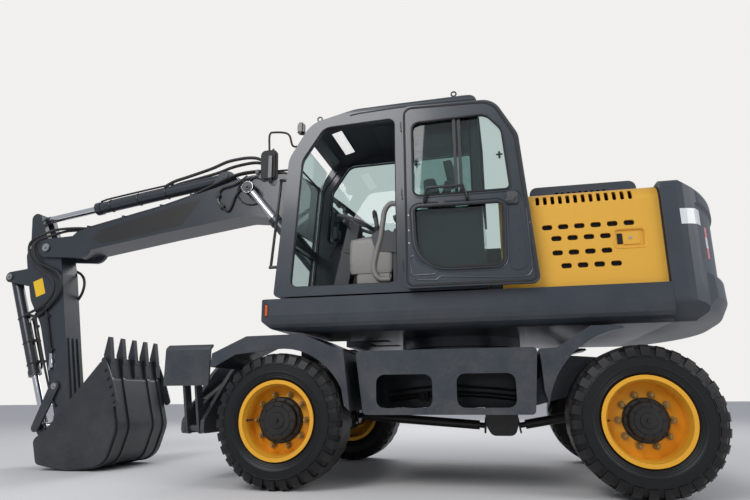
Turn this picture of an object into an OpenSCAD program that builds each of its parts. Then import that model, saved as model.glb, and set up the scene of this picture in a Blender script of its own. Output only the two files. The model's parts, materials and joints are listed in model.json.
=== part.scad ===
// Wheeled excavator: undercarriage on four wheels with two stabilizers, a turning
// upper structure with a cab, and a boom, stick and bucket moved by cylinders.
// Millimetres. +X points from the turning centre to the boom, +Y to the cab side
// and +Z up. The machine stands on z = 0.

/* [Wheels] */
// Distance between the two axles
wheelbase = 2600; // [2450:10:2750]
// Width over the tyres
tyre_span = 2614; // [2560:2:2700]
// Radius of a tyre at the tips of its lugs
tyre_r = 500; // [485:5:520]
// Width of a tyre
tyre_w = 416; // [380:4:440]
// Radius of a rim's outer flange
rim_r = 296; // [284:2:306]
// Depth from the tyre's side to the wheel disc
dish_depth = 150; // [120:5:170]
// Radius of the hub on the fixed axle
hub_r_fixed = 168; // [150:2:172]
// Radius of the hub on the steered axle
hub_r_steered = 146; // [130:2:160]
// Wheel nuts on one wheel
nuts = 10; // [8:1:12]
// From the middle of a wheel's width in to its steering pivot
king_in = 149; // [145:1:165]

/* [Chassis] */
// Height of the chassis deck above the ground
chassis_top = 1005; // [985:5:1025]
// Height of the lower edge of the side boxes
chassis_bottom = 537; // [520:5:560]
// Width of the middle frame
frame_w = 760; // [700:10:800]
// Width over the side boxes
side_w = 2400; // [2340:10:2440]
// From the fixed axle to the side boxes
box_gap_front = 620; // [600:5:640]
// From the steered axle to the side boxes
box_gap_rear = 710; // [700:5:730]
// Thickness of the side plates
plate_t = 12; // [8:1:20]
// Overhang of the frame past the fixed axle
front_over = 600; // [580:5:640]
// Overhang of the frame past the steered axle
rear_over = 520; // [480:10:560]
// Outer radius of the slewing ring
ring_r = 520; // [480:10:560]

/* [Stabilizers] */
// Length of a stabilizer pad along the machine
pad_l = 400; // [360:10:440]
// Height of a stowed pad
pad_h = 330; // [300:10:350]
// Distance of the arm's pivot from the machine's middle
arm_y = 960; // [930:10:980]
// Height of the arm's pivot
arm_z = 430; // [410:10:460]
// Length of the arm from its pivot to the middle of the pad
arm_len = 500; // [470:10:520]

/* [Upper structure] */
// Height of the upper deck
deck_z = 1430; // [1410:5:1460]
// Height of the deck's side skirt
skirt_h = 130; // [110:5:150]
// Width over the upper deck
deck_w = 2440; // [2400:10:2480]
// Front end of the deck under the cab
deck_front = 1500; // [1470:5:1530]
// Rear end of the deck, where the counterweight starts
deck_rear = 1570; // [1540:5:1600]
// Half of the slot for the boom in the front of the deck
slot_half = 340; // [336:1:350]
// Radius of the counterweight's tail
tail_r = 2145; // [2120:5:2180]
// Height of the counterweight's top
weight_top = 2190; // [2150:10:2230]
// Height of the hood's side panels
hood_top = 2175; // [2140:5:2210]
// Height of the middle hood
lid_top = 2410; // [2370:10:2450]
// Half of the middle hood's width
lid_half = 600; // [560:10:640]
// Front end of the hood, behind the cab
hood_front = 420; // [400:10:440]

// Height of the step on the right side
step_z = 1720; // [1680:10:1760]
// Height of the tank on the right side
tank_z = 2130; // [2080:10:2160]

/* [Cab] */
// Inner side of the cab, next to the boom
cab_in = 345; // [342:1:355]
// Outer side of the cab
cab_out = 1222; // [1210:2:1226]
// Height of the cab's roof at the front
roof_z = 3020; // [2980:10:3050]
// Rear wall of the cab
cab_rear = 300; // [290:5:320]
// Front of the cab at its floor
cab_front = 1385; // [1360:5:1400]
// Thickness of the cab's walls
cab_wall = 55; // [45:1:65]
// Place of the door's hinge line ahead of the turning centre
hinge_x = 310; // [300:5:330]
// Thickness of the door
door_t = 36; // [30:1:36]
// Opening angle of the door, as it stands
door_angle = 180; // [0:5:180]

/* [Boom] */
// Place of the boom's foot pin ahead of the turning centre
foot_x = 500; // [480:5:520]
// Height of the boom's foot pin
foot_z = 1650; // [1630:5:1670]
// Length of the boom from pin to pin
boom_len = 4104; // [4000:10:4200]
// Angle of the boom above level
boom_angle = 9.3; // [0:0.1:20]
// Half of the boom's width
boom_half = 165; // [155:1:168]
// Radius of a boom cylinder's barrel
boom_cyl_r = 60; // [50:1:61]
// Distance of a boom cylinder from the machine's middle
boom_cyl_y = 255; // [253:1:260]

/* [Stick and bucket] */
// Length of the stick from pin to pin
stick_len = 1880; // [1800:10:1960]
// Angle of the stick, from level ahead
stick_angle = -103; // [-115:1:-95]
// Half of the stick's width
stick_half = 120; // [110:1:121]
// Direction of the bucket's cutting edge from its pin
bucket_angle = 139; // [130:1:145]
// Width of the bucket
bucket_w = 900; // [840:10:960]
// Thickness of the bucket's plates
bucket_t = 20; // [14:1:26]
// Teeth on the bucket
teeth = 5; // [4:1:6]
// Length of the rocker of the bucket's linkage
rocker_len = 453; // [440:1:460]
// Length of the link of the bucket's linkage
link_len = 347; // [335:1:355]
// Radius of the stick cylinder's barrel
stick_cyl_r = 65; // [55:1:70]
// Radius of the bucket cylinder's barrel
bucket_cyl_r = 58; // [50:1:62]

/* [Fits] */
// Clearance of a pin in its bore
pin_gap = 0.5; // [0.3:0.1:1]
// Gap between parts that are seated on each other
seat = 0.3; // [0.2:0.1:0.5]
// Side gap between parts that move past each other
run = 6; // [5:0.5:8]

/* [Tread and trim] */
// Shoulder lugs on each side of a tyre
lugs = 30; // [20:2:36]
// Width of a lug
lug_w = 58; // [40:2:66]
// Depth of the gaps between lugs
lug_depth = 15; // [8:1:22]
// Width of the shoulder that the lugs cover
lug_reach = 92; // [70:2:120]
// How far the door's raised frame stands out
door_bead = 14; // [6:1:24]
// Radius of the pipes along the boom
pipe_r = 12; // [8:1:16]
// Thickness of the wear straps on the bucket's back
strap_t = 14; // [8:1:20]
// Depth of the latch pocket in the hood
latch_depth = 12; // [6:1:15]

/* [Hidden] */

steel = "#4d545c";
dark = "#2b2d30";
black = "#1a1a1b";
amber = "#e79a1f";
yellow = "#f0a21c";
chrome = "#c8ccd0";
pane = "#5d6f78";

axle_x = wheelbase / 2;
axle_z = tyre_r;
wheel_y = tyre_span / 2 - tyre_w / 2;
king_y = wheel_y - king_in;
bead_r = rim_r - 26;
hub_back = tyre_w / 2 - dish_depth - 30;
spindle_r = 60;
king_r = 30;
yoke_top = 165;
yoke_t = 35;

box_front = axle_x - box_gap_front;
box_rear = axle_x - box_gap_rear;
box_y = side_w / 2;
frame_half = frame_w / 2;
fender_y = box_y + 18;

arm_x = axle_x + front_over + 238;
arm_half = 62;
arm_t = 20;

ring_top = chassis_top + 70;
fender_top = chassis_top + 142;
belly_z = fender_top + 16;
skirt_z = deck_z - skirt_h;
deck_half = deck_w / 2;
cab_lift = 13;
brow_z = roof_z - 396;
hinge_places = [1620, 2200, 2780];
door_y = cab_out + run;
hinge_y = door_y + door_t + 3;

foot = [foot_x, foot_z];
tip = foot + boom_len * dir(boom_angle);
bucket_pin = tip + stick_len * dir(stick_angle);
boom_base = [foot_x + 430, foot_z - 300];
boom_top = [[2229, 840], [2795, 589], [3760, 225]];
boom_eye = foot + turn([1753, 852], boom_angle);
stick_base = foot + turn([2144, 1027], boom_angle);
stick_eye = tip + turn([-409, 135], stick_angle);
bucket_base = tip + turn([173, 553], stick_angle);
rocker_pin = tip + turn([stick_len - 338, 48], stick_angle);
rocker_angle = stick_angle + 35;
link_pin = rocker_pin + rocker_len * dir(rocker_angle);
link_angle = rocker_angle - 61;
link_end = link_pin + link_len * dir(link_angle);

front_reach = bucket_base.x + 80;
rear_reach = tail_r + 40;
home_x = -(front_reach - rear_reach) / 2;

// Unit vector at an angle
function dir(a) = [cos(a), sin(a)];
// Point p turned by an angle
function turn(p, a) = [p.x * cos(a) - p.y * sin(a), p.x * sin(a) + p.y * cos(a)];
// Angle of the way from a to b
function heading(a, b) = atan2(b.y - a.y, b.x - a.x);
function unit(v) = v / norm(v);
// Turn from angle a to angle b, the short way round
function sweep(a, b) = let (d = b - a) d > 180 ? d - 360 : d < -180 ? d + 360 : d;
// Points of one corner b between a and c, rounded with b's own radius
function corner(a, b, c, n = 5) =
    let (p = [b.x, b.y], u = unit([a.x, a.y] - p), v = unit([c.x, c.y] - p), r = b.z)
    r == 0 ? [p] :
    let (half = acos(max(-1, min(1, u * v))) / 2,
        m = p + unit(u + v) * r / sin(half),
        s = p + u * r / tan(half), e = p + v * r / tan(half),
        a0 = heading(m, s), da = sweep(a0, heading(m, e)))
    [for (i = [0:n]) m + r * dir(a0 + da * i / n)];
// Outline from corners [x, y, radius]
function rounded(list, n = 5) = [for (i = [0:len(list) - 1])
    each corner(list[(i + len(list) - 1) % len(list)], list[i],
        list[(i + 1) % len(list)], n)];
// Points of an arc round m
function arc(m, r, a0, a1, n) = [for (i = [0:n]) m + r * dir(a0 + (a1 - a0) * i / n)];

// Everything is drawn from the turning centre and set over the machine's middle
module placed() {
    translate([home_x, 0, 0]) children();
}
// A side profile, in x and z, from y0 to y1
module side(y0, y1) {
    translate([0, y1, 0]) rotate([90, 0, 0]) linear_extrude(y1 - y0) children();
}
// The same on the left and the right
module sides(y0, y1) {
    side(y0, y1) children();
    side(-y1, -y0) children();
}
module mirrored() {
    children();
    mirror([0, 1, 0]) children();
}
// A cross profile, in y and z, from x0 to x1
module cross(x0, x1) {
    translate([x0, 0, 0]) rotate([90, 0, 90]) linear_extrude(x1 - x0) children();
}
// A round bar along y at a point of the side view
module bar(p, r, y0, y1) {
    translate([p.x, y1, p.y]) rotate([90, 0, 0]) cylinder(r = r, h = y1 - y0, $fn = 48);
}
// A side profile with round ends between two points
module strap(a, b, ra, rb) {
    l = norm(b - a);
    t = asin((ra - rb) / l);
    translate(a) circle(ra, $fn = 48);
    translate(b) circle(rb, $fn = 48);
    // the flanks run a hair inside the tangents, so that they cut the ends cleanly
    ka = ra * 0.995;
    kb = rb * 0.995;
    translate(a) rotate(heading(a, b)) polygon([ka * dir(90 - t), ka * dir(t - 90),
        [l, 0] + kb * dir(t - 90), [l, 0] + kb * dir(90 - t)]);
}
module box(x0, x1, y0, y1, z0, z1) {
    translate([x0, y0, z0]) cube([x1 - x0, y1 - y0, z1 - z0]);
}
// A round bar between two points in one plane y
module rod(a, b, y, r, from, to) {
    translate([a.x, y, a.y]) rotate([0, 90 - heading(a, b), 0])
        translate([0, 0, from]) cylinder(r = r, h = to - from, $fn = 48);
}

/* Undercarriage */

module chassis_frame() {
    color(steel) placed() difference() {
        union() {
            side(-frame_half, frame_half) polygon(rounded([
                [-axle_x - rear_over, 700, 40], [-axle_x + 260, 700, 60],
                [-box_rear, chassis_bottom + 40, 60], [box_front, chassis_bottom + 40, 60],
                [axle_x - 230, 715, 60], [axle_x + front_over, 715, 0],
                [axle_x + front_over, 930, 0], [box_front + 160, chassis_top, 60],
                [-box_rear - 160, chassis_top, 60], [-axle_x - rear_over + 180, 930, 60],
                [-axle_x - rear_over, 930, 0]]));
            mirrored() side_box();
            translate([0, 0, chassis_top]) cylinder(r = ring_r, h = 70, $fn = 96);
        }
        translate([0, 0, chassis_top]) cylinder(r = ring_r - 120, h = 100, $fn = 96);
        translate([0, 0, chassis_bottom]) cylinder(r = ring_r - 220, h = 600, $fn = 96);
        translate([-axle_x - rear_over + 90, 0, 600]) cylinder(r = 22, h = 500, $fn = 48);
        box(-axle_x - rear_over - 1, -axle_x - rear_over + 160, -140, 140, 760, 860);
    }
}

// Box beside the middle frame, with two rounded windows in its outer plate
module side_box() {
    outline = rounded([[-box_rear, chassis_bottom, 30], [box_front - 30, chassis_bottom, 30],
        [box_front + 30, chassis_top, 30], [-box_rear - 40, chassis_top, 30]]);
    difference() {
        side(frame_half - 1, box_y) polygon(outline);
        side(frame_half - 1, box_y - plate_t) intersection() {
            polygon(outline);
            translate([0, plate_t]) polygon(outline);
            translate([0, -plate_t]) polygon(outline);
            translate([plate_t, 0]) polygon(outline);
            translate([-plate_t, 0]) polygon(outline);
        }
        for (x = [-box_rear + 123, box_front - 550]) side(box_y - plate_t - 1, box_y + 1)
            polygon(rounded([[x, 585, 60], [x + 420, 585, 60], [x + 420, 826, 60], [x, 826, 60]]));
    }
}

// Mudguards: a full one over the fixed axle, a short one behind the steered wheel
module fenders() {
    color(steel) placed() mirrored() {
        front_fender();
        rear_fender();
    }
}
module front_fender() {
    m = [axle_x, axle_z];
    gap = 36;
    outer = concat([[axle_x + 600, 905], [axle_x + 590, 1012], [axle_x + 300, fender_top - 6],
        [axle_x - 165, fender_top], [axle_x - 500, 1003], [axle_x - 550, chassis_bottom + 30],
        [axle_x - 508, chassis_bottom + 65]],
        arc(m, tyre_r + gap, 155, 85, 10), [[axle_x + 390, 1000], [axle_x + 572, 904]]);
    inner = concat([[axle_x + 601, 892], [axle_x + 582, 1000], [axle_x + 296, fender_top - 18],
        [axle_x - 160, fender_top - 12], [axle_x - 490, 993], [axle_x - 550, 540], [axle_x - 508, 540]],
        [[axle_x, 600], [axle_x + 560, 860]]);
    difference() {
        side(frame_half + 20, fender_y) polygon(outer);
        side(frame_half + 10, fender_y - plate_t) polygon(inner);
    }
    box(axle_x - 120, axle_x + 120, frame_half, frame_half + 40, 860, fender_top - 11);
}
module rear_fender() {
    m = [-axle_x, axle_z];
    r = tyre_r + 126;
    side(wheel_y - tyre_w / 2 - 20, fender_y) polygon(concat(
        arc(m, r, 10, 83, 12), [[-axle_x + 93, fender_top - 9], [-axle_x + 296, fender_top - 4],
        [-axle_x + 537, 997], [-axle_x + 660, 990], [-axle_x + 650, 900],
        [-axle_x + 640, 700]]));
    box(-box_rear - 80, -box_rear - 60, frame_half, wheel_y - tyre_w / 2, 800, 960);
}

// Axle with its differential, and the ends that the wheels turn on
module fixed_axle() {
    color(dark) placed() translate([axle_x, 0, axle_z]) {
        differential();
        mirrored() {
            turned([[95, 0], [95, 560], [140, 640], [150, 700], [150, 760], [172, 770],
                [172, 830], [150, 850], [150, wheel_y + hub_back - seat]]);
            spindle();
            box(-110, 110, 300, 360, 60, 215 - seat);
        }
    }
}
module differential() {
    rotate([90, 0, 0]) cylinder(r = 190, h = 240, center = true, $fn = 72);
    rotate([90, 0, 0]) cylinder(r = 150, h = 340, center = true, $fn = 72);
    rotate([0, -90, 0]) cylinder(r1 = 130, r2 = 80, h = 300, $fn = 60);
}
// Solid of revolution about the axle, from a list [radius, distance outwards]
module turned(list) {
    rotate([-90, 0, 0]) rotate_extrude($fn = 72)
        polygon(concat([[0, list[0].y]], list, [[0, list[len(list) - 1].y]]));
}
module spindle() {
    turned([[spindle_r, wheel_y + hub_back - 1], [spindle_r, wheel_y + hub_back + 60]]);
}

// Steered axle: beam with a yoke at each end
module steered_axle() {
    color(dark) placed() translate([-axle_x, 0, axle_z]) difference() {
        union() {
            rotate([0, 0, 180]) differential();
            mirrored() {
                turned([[90, 0], [90, 640], [120, 760], [120, 800]]);
                for (s = [-1, 1]) {
                    translate([0, 0, s * (yoke_top - yoke_t / 2)]) linear_extrude(yoke_t, center = true)
                        strap([0, 780], [0, king_y], 75, 58);
                    box(-70, 70, 740, 800, s > 0 ? 0 : -yoke_top, s > 0 ? yoke_top : 0);
                }
            }
            box(-60, 60, -70, 70, 150, 200 - seat);
            rotate([0, 90, 0]) translate([-140, 0, 0]) cylinder(r = 60, h = 420, center = true, $fn = 48);
        }
        mirrored() translate([0, king_y, 0]) cylinder(r = king_r + pin_gap, h = 400, center = true, $fn = 48);
    }
}
module knuckle(s) {
    color(dark) placed() translate([-axle_x, 0, axle_z]) mirror([0, s < 0 ? 1 : 0, 0]) {
        translate([0, king_y, 0]) {
            cylinder(r = king_r, h = 2 * yoke_top, center = true, $fn = 48);
            cylinder(r = 100, h = 2 * (yoke_top - yoke_t - run), center = true, $fn = 60);
        }
        turned([[90, king_y], [90, king_y + 80], [140, king_y + 90],
            [140, wheel_y + hub_back - seat]]);
        spindle();
        translate([0, 0, -12]) linear_extrude(25)
            strap([0, king_y], [150, king_y - 40], 45, 30);
    }
}

module driveline() {
    color(dark) placed() {
        side(-150, 150) polygon(rounded([[-450, 330, 60], [-250, 330, 60], [-200, 420, 30],
            [-200, 577 - seat, 0], [-480, 577 - seat, 0], [-480, 420, 30]]));
        shaft([-200, 410], [axle_x - 300, axle_z], 40);
        shaft([-480, 410], [-axle_x + 300, axle_z], 40);
    }
}
// Propeller shaft with a joint at each end
module shaft(a, b, r) {
    l = norm(b - a);
    rod(a, b, 0, r + 28, 0, 16);
    rod(a, b, 0, r * 0.6, 10, 70);
    rod(a, b, 0, r, 60, l - 60);
    rod(a, b, 0, r * 0.6, l - 70, l - 20);
    rod(a, b, 0, r + 28, l - 32, l - 16);
}

module tyre(x, s) {
    color(black) placed() translate([x, s * wheel_y, axle_z]) rotate([-90, 0, 0]) {
        rotate_extrude($fn = 96) polygon(concat(tyre_edge(-1), tyre_edge(1)));
        for (e = [-1, 1]) rotate(e * 90 / lugs) tyre_lugs(e);
    }
}
// Section of a tyre's wall and shoulder on side e, from the bead out or from the tread in
function tyre_edge(e) = let (h = tyre_w / 2, edge = [[bead_r + seat, h - 54], [rim_r + 14, h - 20],
    [rim_r + 60, h], [tyre_r - 84, h - 3], [tyre_r - 60, h - 4 - lug_depth],
    [tyre_r - 18 - lug_depth, h - 26 - lug_depth], [tyre_r - lug_depth, h - 56 - lug_depth],
    [tyre_r - lug_depth, h - lug_reach], [tyre_r, h - lug_reach]])
    e < 0 ? [for (p = edge) [p.x, -p.y]] : [for (i = [len(edge) - 1:-1:0]) edge[i]];
// Blocks round one shoulder, up to the tyre's full outline
module tyre_lugs(e) {
    h = tyre_w / 2;
    section = [[tyre_r - 100, h - 24], [tyre_r - 78, h - 1], [tyre_r - 20, h - 20], [tyre_r - 1, h - 56],
        [tyre_r - 1, h - lug_reach - 12], [tyre_r - 60, h - lug_reach - 12]];
    for (i = [0:lugs - 1]) rotate(360 * i / lugs) side(-lug_w / 2, lug_w / 2)
        polygon([for (p = section) [p.x, e * p.y]]);
}

module rim(x, s, hub_r) {
    h = tyre_w / 2;
    d = h - dish_depth;
    color(yellow) placed() translate([x, s * wheel_y, axle_z]) mirror([0, s < 0 ? 1 : 0, 0])
        rotate([-90, 0, 0]) difference() {
            union() {
                rotate_extrude($fn = 96) polygon([[rim_r, h - 12], [rim_r, h - 26],
                    [bead_r + 6, h - 30], [bead_r, h - 52], [bead_r, -h + 52],
                    [bead_r + 6, -h + 30], [rim_r, -h + 26], [rim_r, -h + 12],
                    [bead_r - 8, -h + 16], [bead_r - 16, -h + 60], [bead_r - 16, d - 50],
                    [hub_r, d - 16], [hub_r, d], [bead_r - 20, d - 30], [bead_r - 16, h - 56],
                    [bead_r - 2, h - 12]]);
                translate([0, 0, hub_back]) cylinder(r = hub_r + 1, h = 70, $fn = 72);
                translate([0, 0, hub_back]) cylinder(r = hub_r * 0.82, h = 120, $fn = 72);
                for (i = [0:nuts - 1]) rotate(360 * i / nuts)
                    translate([hub_r + 28, 0, d - 20]) cylinder(r = 16, h = 42, $fn = 24);
            }
            translate([0, 0, hub_back - 1]) cylinder(r = spindle_r + pin_gap, h = 70, $fn = 48);
        }
}

/* Stabilizers */

module stabilizer_frame() {
    x0 = axle_x + front_over;
    color(steel) placed() difference() {
        union() {
            for (x = [arm_x - arm_half - 40, arm_x + arm_half + run]) cross(x, x + 34)
                polygon(rounded([[-arm_y - 45, arm_z - 45, 40], [arm_y + 45, arm_z - 45, 40],
                    [arm_y + 45, arm_z + 60, 40], [560, 880, 60], [440, 960, 60],
                    [-440, 960, 60], [-560, 880, 60], [-arm_y - 45, arm_z + 60, 40]]));
            box(x0 + seat, arm_x - arm_half - 30, -360, 360, 560, 930);
            box(arm_x - arm_half - 20, arm_x + arm_half + 20, -250, 250, 520, 900);
            mirrored() translate([arm_x - arm_half - 20, arm_y, arm_z]) rotate([0, 90, 0])
                cylinder(r = 24, h = 2 * arm_half + 40, $fn = 48);
            mirrored() translate([arm_x - arm_half - 20, leg_base().x, leg_base().y]) rotate([0, 90, 0])
                cylinder(r = 20, h = 2 * arm_half + 40, $fn = 48);
        }
    }
}
// Points of the stabilizer linkage in y and z
function leg_eye() = [arm_y - 66, arm_z + 173];
function leg_base() = [376, arm_z + 394];

module stabilizer_arm(s) {
    color(steel) placed() mirror([0, s < 0 ? 1 : 0, 0]) difference() {
        union() {
            for (x = [arm_x - arm_half, arm_x + arm_half - arm_t]) cross(x, x + arm_t)
                union() {
                    strap([arm_y, arm_z], leg_eye(), 48, 44);
                    strap([arm_y, arm_z], [arm_y + 130, arm_z + arm_len], 48, 46);
                }
            cross(arm_x - pad_l / 2, arm_x + pad_l / 2)
                polygon(rounded([[arm_y + 178, arm_z + arm_len - pad_h / 2, 0],
                    [arm_y + 200, arm_z + arm_len - pad_h / 2, 0],
                    [arm_y + 200, arm_z + arm_len + pad_h / 2 - 30, 30],
                    [arm_y + 150, arm_z + arm_len + pad_h / 2, 0],
                    [arm_y + 140, arm_z + arm_len + pad_h / 2 - 14, 0],
                    [arm_y + 178, arm_z + arm_len + pad_h / 2 - 44, 10]]));
            box(arm_x - arm_half, arm_x + arm_half, arm_y + 120, arm_y + 180,
                arm_z + arm_len - 50, arm_z + arm_len + 40);
        }
        translate([arm_x - 200, arm_y, arm_z]) rotate([0, 90, 0])
            cylinder(r = 24 + pin_gap, h = 400, $fn = 48);
    }
}
// A round bar in the plane across the machine
module leg_bar(r, from, to) {
    b = leg_base();
    translate([arm_x, b.x, b.y]) rotate([heading(b, leg_eye()) - 90, 0, 0])
        translate([0, 0, from]) cylinder(r = r, h = to - from, $fn = 48);
}
module stabilizer_barrel(s) {
    color(dark) placed() mirror([0, s < 0 ? 1 : 0, 0]) difference() {
        union() {
            leg_bar(36, 24, 500);
            translate([arm_x - 30, leg_base().x, leg_base().y]) rotate([0, 90, 0])
                cylinder(r = 38, h = 60, $fn = 48);
        }
        translate([arm_x - 100, leg_base().x, leg_base().y]) rotate([0, 90, 0])
            cylinder(r = 20 + pin_gap, h = 200, $fn = 48);
        leg_bar(22 + pin_gap, 58, 501);
    }
}
module stabilizer_rod(s) {
    l = norm(leg_eye() - leg_base());
    color(chrome) placed() mirror([0, s < 0 ? 1 : 0, 0]) {
        leg_bar(22, 66, l - 20);
        translate([arm_x - 30, leg_eye().x, leg_eye().y]) rotate([0, 90, 0])
            cylinder(r = 34, h = 60, $fn = 48);
    }
}

/* Upper structure */

module platform() {
    r = skirt_z - belly_z;
    color(steel) placed() {
        difference() {
            intersection() {
                cross(-deck_rear, deck_front) polygon(concat(
                    [[-deck_half, deck_z], [-deck_half, skirt_z]],
                    arc([-deck_half + r, skirt_z], r, 180, 270, 6),
                    arc([deck_half - r, skirt_z], r, 270, 360, 6),
                    [[deck_half, skirt_z], [deck_half, deck_z]]));
                side(-deck_half, deck_half) polygon(rounded([[-deck_rear - 20, deck_z, 0],
                    [-deck_rear - 20, belly_z, 0], [deck_front - 340, belly_z, 60],
                    [deck_front - 90, belly_z + 30, 60], [deck_front, skirt_z - 30, 40],
                    [deck_front, deck_z, 20]]));
                translate([0, 0, belly_z]) linear_extrude(deck_z - belly_z) polygon(rounded([
                    [-deck_rear - 20, -deck_half, 0], [deck_front - 300, -deck_half, 60],
                    [deck_front - 300, 0, 0], [deck_front, 0, 0], [deck_front, deck_half, 60],
                    [-deck_rear - 20, deck_half, 0]]));
            }
            box(foot_x + 120, deck_front + 1, -slot_half, slot_half, belly_z - 1, deck_z + 1);
            box(foot_x - 160, foot_x + 130, -boom_half - run, boom_half + run,
                foot_z - 200, deck_z + 1);
        }
        translate([0, 0, ring_top + run]) cylinder(r = ring_r + 20, h = belly_z - ring_top, $fn = 96);
        translate([0, 0, chassis_top + 20]) cylinder(r = ring_r - 120 - pin_gap, h = 100, $fn = 96);
        for (x = [-cab_rear + 100, cab_front - 150]) for (y = [cab_in + 110, cab_out - 110])
            translate([x, y, deck_z - 1]) cylinder(r = 45, h = cab_lift + 1 - seat, $fn = 48);
        boom_bracket();
    }
}
// The two main plates that carry the boom's foot and the boom cylinders
module boom_bracket() {
    in = boom_half + run;
    difference() {
        union() {
            sides(in, in + 20) polygon(rounded([[foot_x - 600, deck_z - 20, 0],
                [foot_x - 190, foot_z + 40, 80], [foot_x + 10, foot_z + 130, 110],
                [foot_x + 150, foot_z - 30, 60], [boom_base.x + 90, boom_base.y + 60, 70],
                [boom_base.x + 100, boom_base.y - 90, 60], [foot_x + 200, belly_z, 0],
                [foot_x - 600, belly_z + 20, 0]]));
            sides(boom_cyl_y + boom_cyl_r + 1, slot_half)
                polygon(rounded([[foot_x + 119, belly_z + 20, 0], [boom_base.x + 80, belly_z + 90, 60],
                    [boom_base.x + 80, boom_base.y + 70, 70], [foot_x + 119, boom_base.y + 60, 0]]));
            box(foot_x + 60, boom_base.x - 90, -in - 2, in + 2, belly_z, belly_z + 30);
            box(foot_x + 60, foot_x + 121, -slot_half, slot_half, belly_z, deck_z);
        }
        bar(foot, 45 + pin_gap, -slot_half, slot_half);
    }
    bar(foot, 45, -in - 40, in + 40);
    bar(boom_base, 35, -slot_half + 2, -in - 10);
    bar(boom_base, 35, in + 10, slot_half - 2);
}

// Plan of the counterweight: a tail of radius r, sides at y = w, corners of radius c
module tail(r, w, c) {
    m = [-sqrt(pow(r - c, 2) - pow(w - c, 2)), w - c];
    a = heading([0, 0], m);
    edge = concat(arc([0, 0], r, 180, a, 8), arc(m, c, a, 90, 6), [[-deck_rear - seat, w]]);
    polygon(concat(edge, [for (i = [len(edge) - 1:-1:1]) [edge[i].x, -edge[i].y]]));
}
module counterweight() {
    half = deck_half - 10;
    color(dark) placed() intersection() {
        rotate_extrude($fn = 180) polygon(rounded([[1200, belly_z, 0], [tail_r - 110, belly_z, 60],
            [tail_r - 10, belly_z + 60, 60], [tail_r + 40, 1330, 40],
            [tail_r + 34, 1480, 20], [tail_r, 1500, 0],
            [tail_r, weight_top - 190, 0], [tail_r + 18, weight_top - 180, 0],
            [tail_r + 14, weight_top - 90, 60], [tail_r - 85, weight_top, 30], [1200, weight_top, 0]], 3));
        translate([0, 0, 1100]) linear_extrude(weight_top - 1000) tail(tail_r + 40, half, 260);
        cross(-tail_r - 100, -deck_rear - seat) polygon(rounded([[-half, 1300, 60], [-half + 110, belly_z, 60],
            [half - 110, belly_z, 60], [half, 1300, 60], [half, weight_top, 60], [-half, weight_top, 60]], 4));
    }
}

// Hood over the engine: side panels with vents, open at the top under the lid
module hood() {
    half = deck_half - 50;
    outer = concat([[-half, deck_z + seat], [half, deck_z + seat]],
        arc([half - 110, hood_top - 110], 110, 0, 90, 5),
        arc([-half + 110, hood_top - 110], 110, 90, 180, 5));
    inner = concat([[-half + 20, deck_z], [half - 20, deck_z]],
        arc([half - 110, hood_top - 110], 90, 0, 90, 5),
        arc([-half + 110, hood_top - 110], 90, 90, 180, 5));
    color(amber) placed() difference() {
        cross(-deck_rear + 5, -hood_front) polygon(outer);
        cross(-deck_rear + 25, -hood_front - 20) polygon(inner);
        box(-deck_rear + 25, -hood_front - 262, -lid_half + 30, lid_half - 30, hood_top - 60, hood_top + 1);
        vents(half);
        latch(half);
        // opening of the right service door
        box(-deck_rear + 110, -hood_front - 90, -half - 1, -half + 30, deck_z + 60, hood_top - 140);
    }
    // the hood's leaves of that door's hinges, with their pins
    color(amber) placed() for (z = [deck_z + 60 + run + 80, hood_top - 140 - run - 140]) {
        right_hinge(z - 26, 25, -hood_front - 90, -hood_front - 50);
        box(-hood_front - 88, -hood_front - 50, -half - 12, -half + 1, z - 26, z - 1);
        translate([right_door_x()[1] + run / 2, -half - 12, z - 2]) cylinder(r = 6, h = 60, $fn = 32);
    }
}
// Vent slots: rows of short ones in the side, and a row over the shoulder
module vents(half) {
    for (i = [0:12]) slot(half - 60, half + 1, -698 - 55 * i - 28, -698 - 55 * i,
        hood_top - 108, hood_top - 34, 10);
    // row: height, first place, count
    for (row = [[1888, 730, 6], [1800, 790, 4], [1690, 790, 4], [1590, 845, 4]])
        for (i = [0:row[2] - 1]) {
            x = -row[1] - 115 * i;
            slot(half - 30, half + 1, x - 75, x, row[0] - 20, row[0] + 20, 18);
        }
}
// Cut with rounded corners through a side panel
module slot(y0, y1, x0, x1, z0, z1, r) {
    side(y0, y1) polygon(rounded([[x0, z0, r], [x1, z0, r], [x1, z1, r], [x0, z1, r]], 3));
}
// Pocket in the left side panel, with the latch's paddle in it
module latch(half) {
    difference() {
        slot(half - latch_depth, half + 1, -1434, -1239, 1707, 1835, 20);
        slot(half - latch_depth - 1, half - latch_depth / 3, -1405, -1290, 1727, 1815, 10);
    }
}
module hood_lid() {
    color(steel) placed() difference() {
        union() {
            side(-lid_half, lid_half) polygon(rounded([[-deck_rear + 5, hood_top + seat, 0],
                [-hood_front - 240, hood_top + seat, 0], [-hood_front - 280, lid_top, 60],
                [-deck_rear + 25, lid_top, 60]]));
            // hinge rod along its front edge
            bar([-hood_front - 240, hood_top + run], 5.5, -lid_half + 20, lid_half - 20);
        }
        side(-lid_half + 20, lid_half - 20) polygon(rounded([[-deck_rear + 25, hood_top - 1, 0],
            [-hood_front - 262, hood_top - 1, 0], [-hood_front - 302, lid_top - 20, 40],
            [-deck_rear + 45, lid_top - 20, 40]]));
        mirrored() for (i = [0:8]) box(-900 - 48 * i - 24, -900 - 48 * i, lid_half - 21, lid_half + 1,
            lid_top - 150, lid_top - 60);
    }
}
module engine() {
    color(dark) placed() box(-deck_rear + 120, -hood_front - 250, -560, 520, deck_z + seat, 2060);
}

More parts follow.
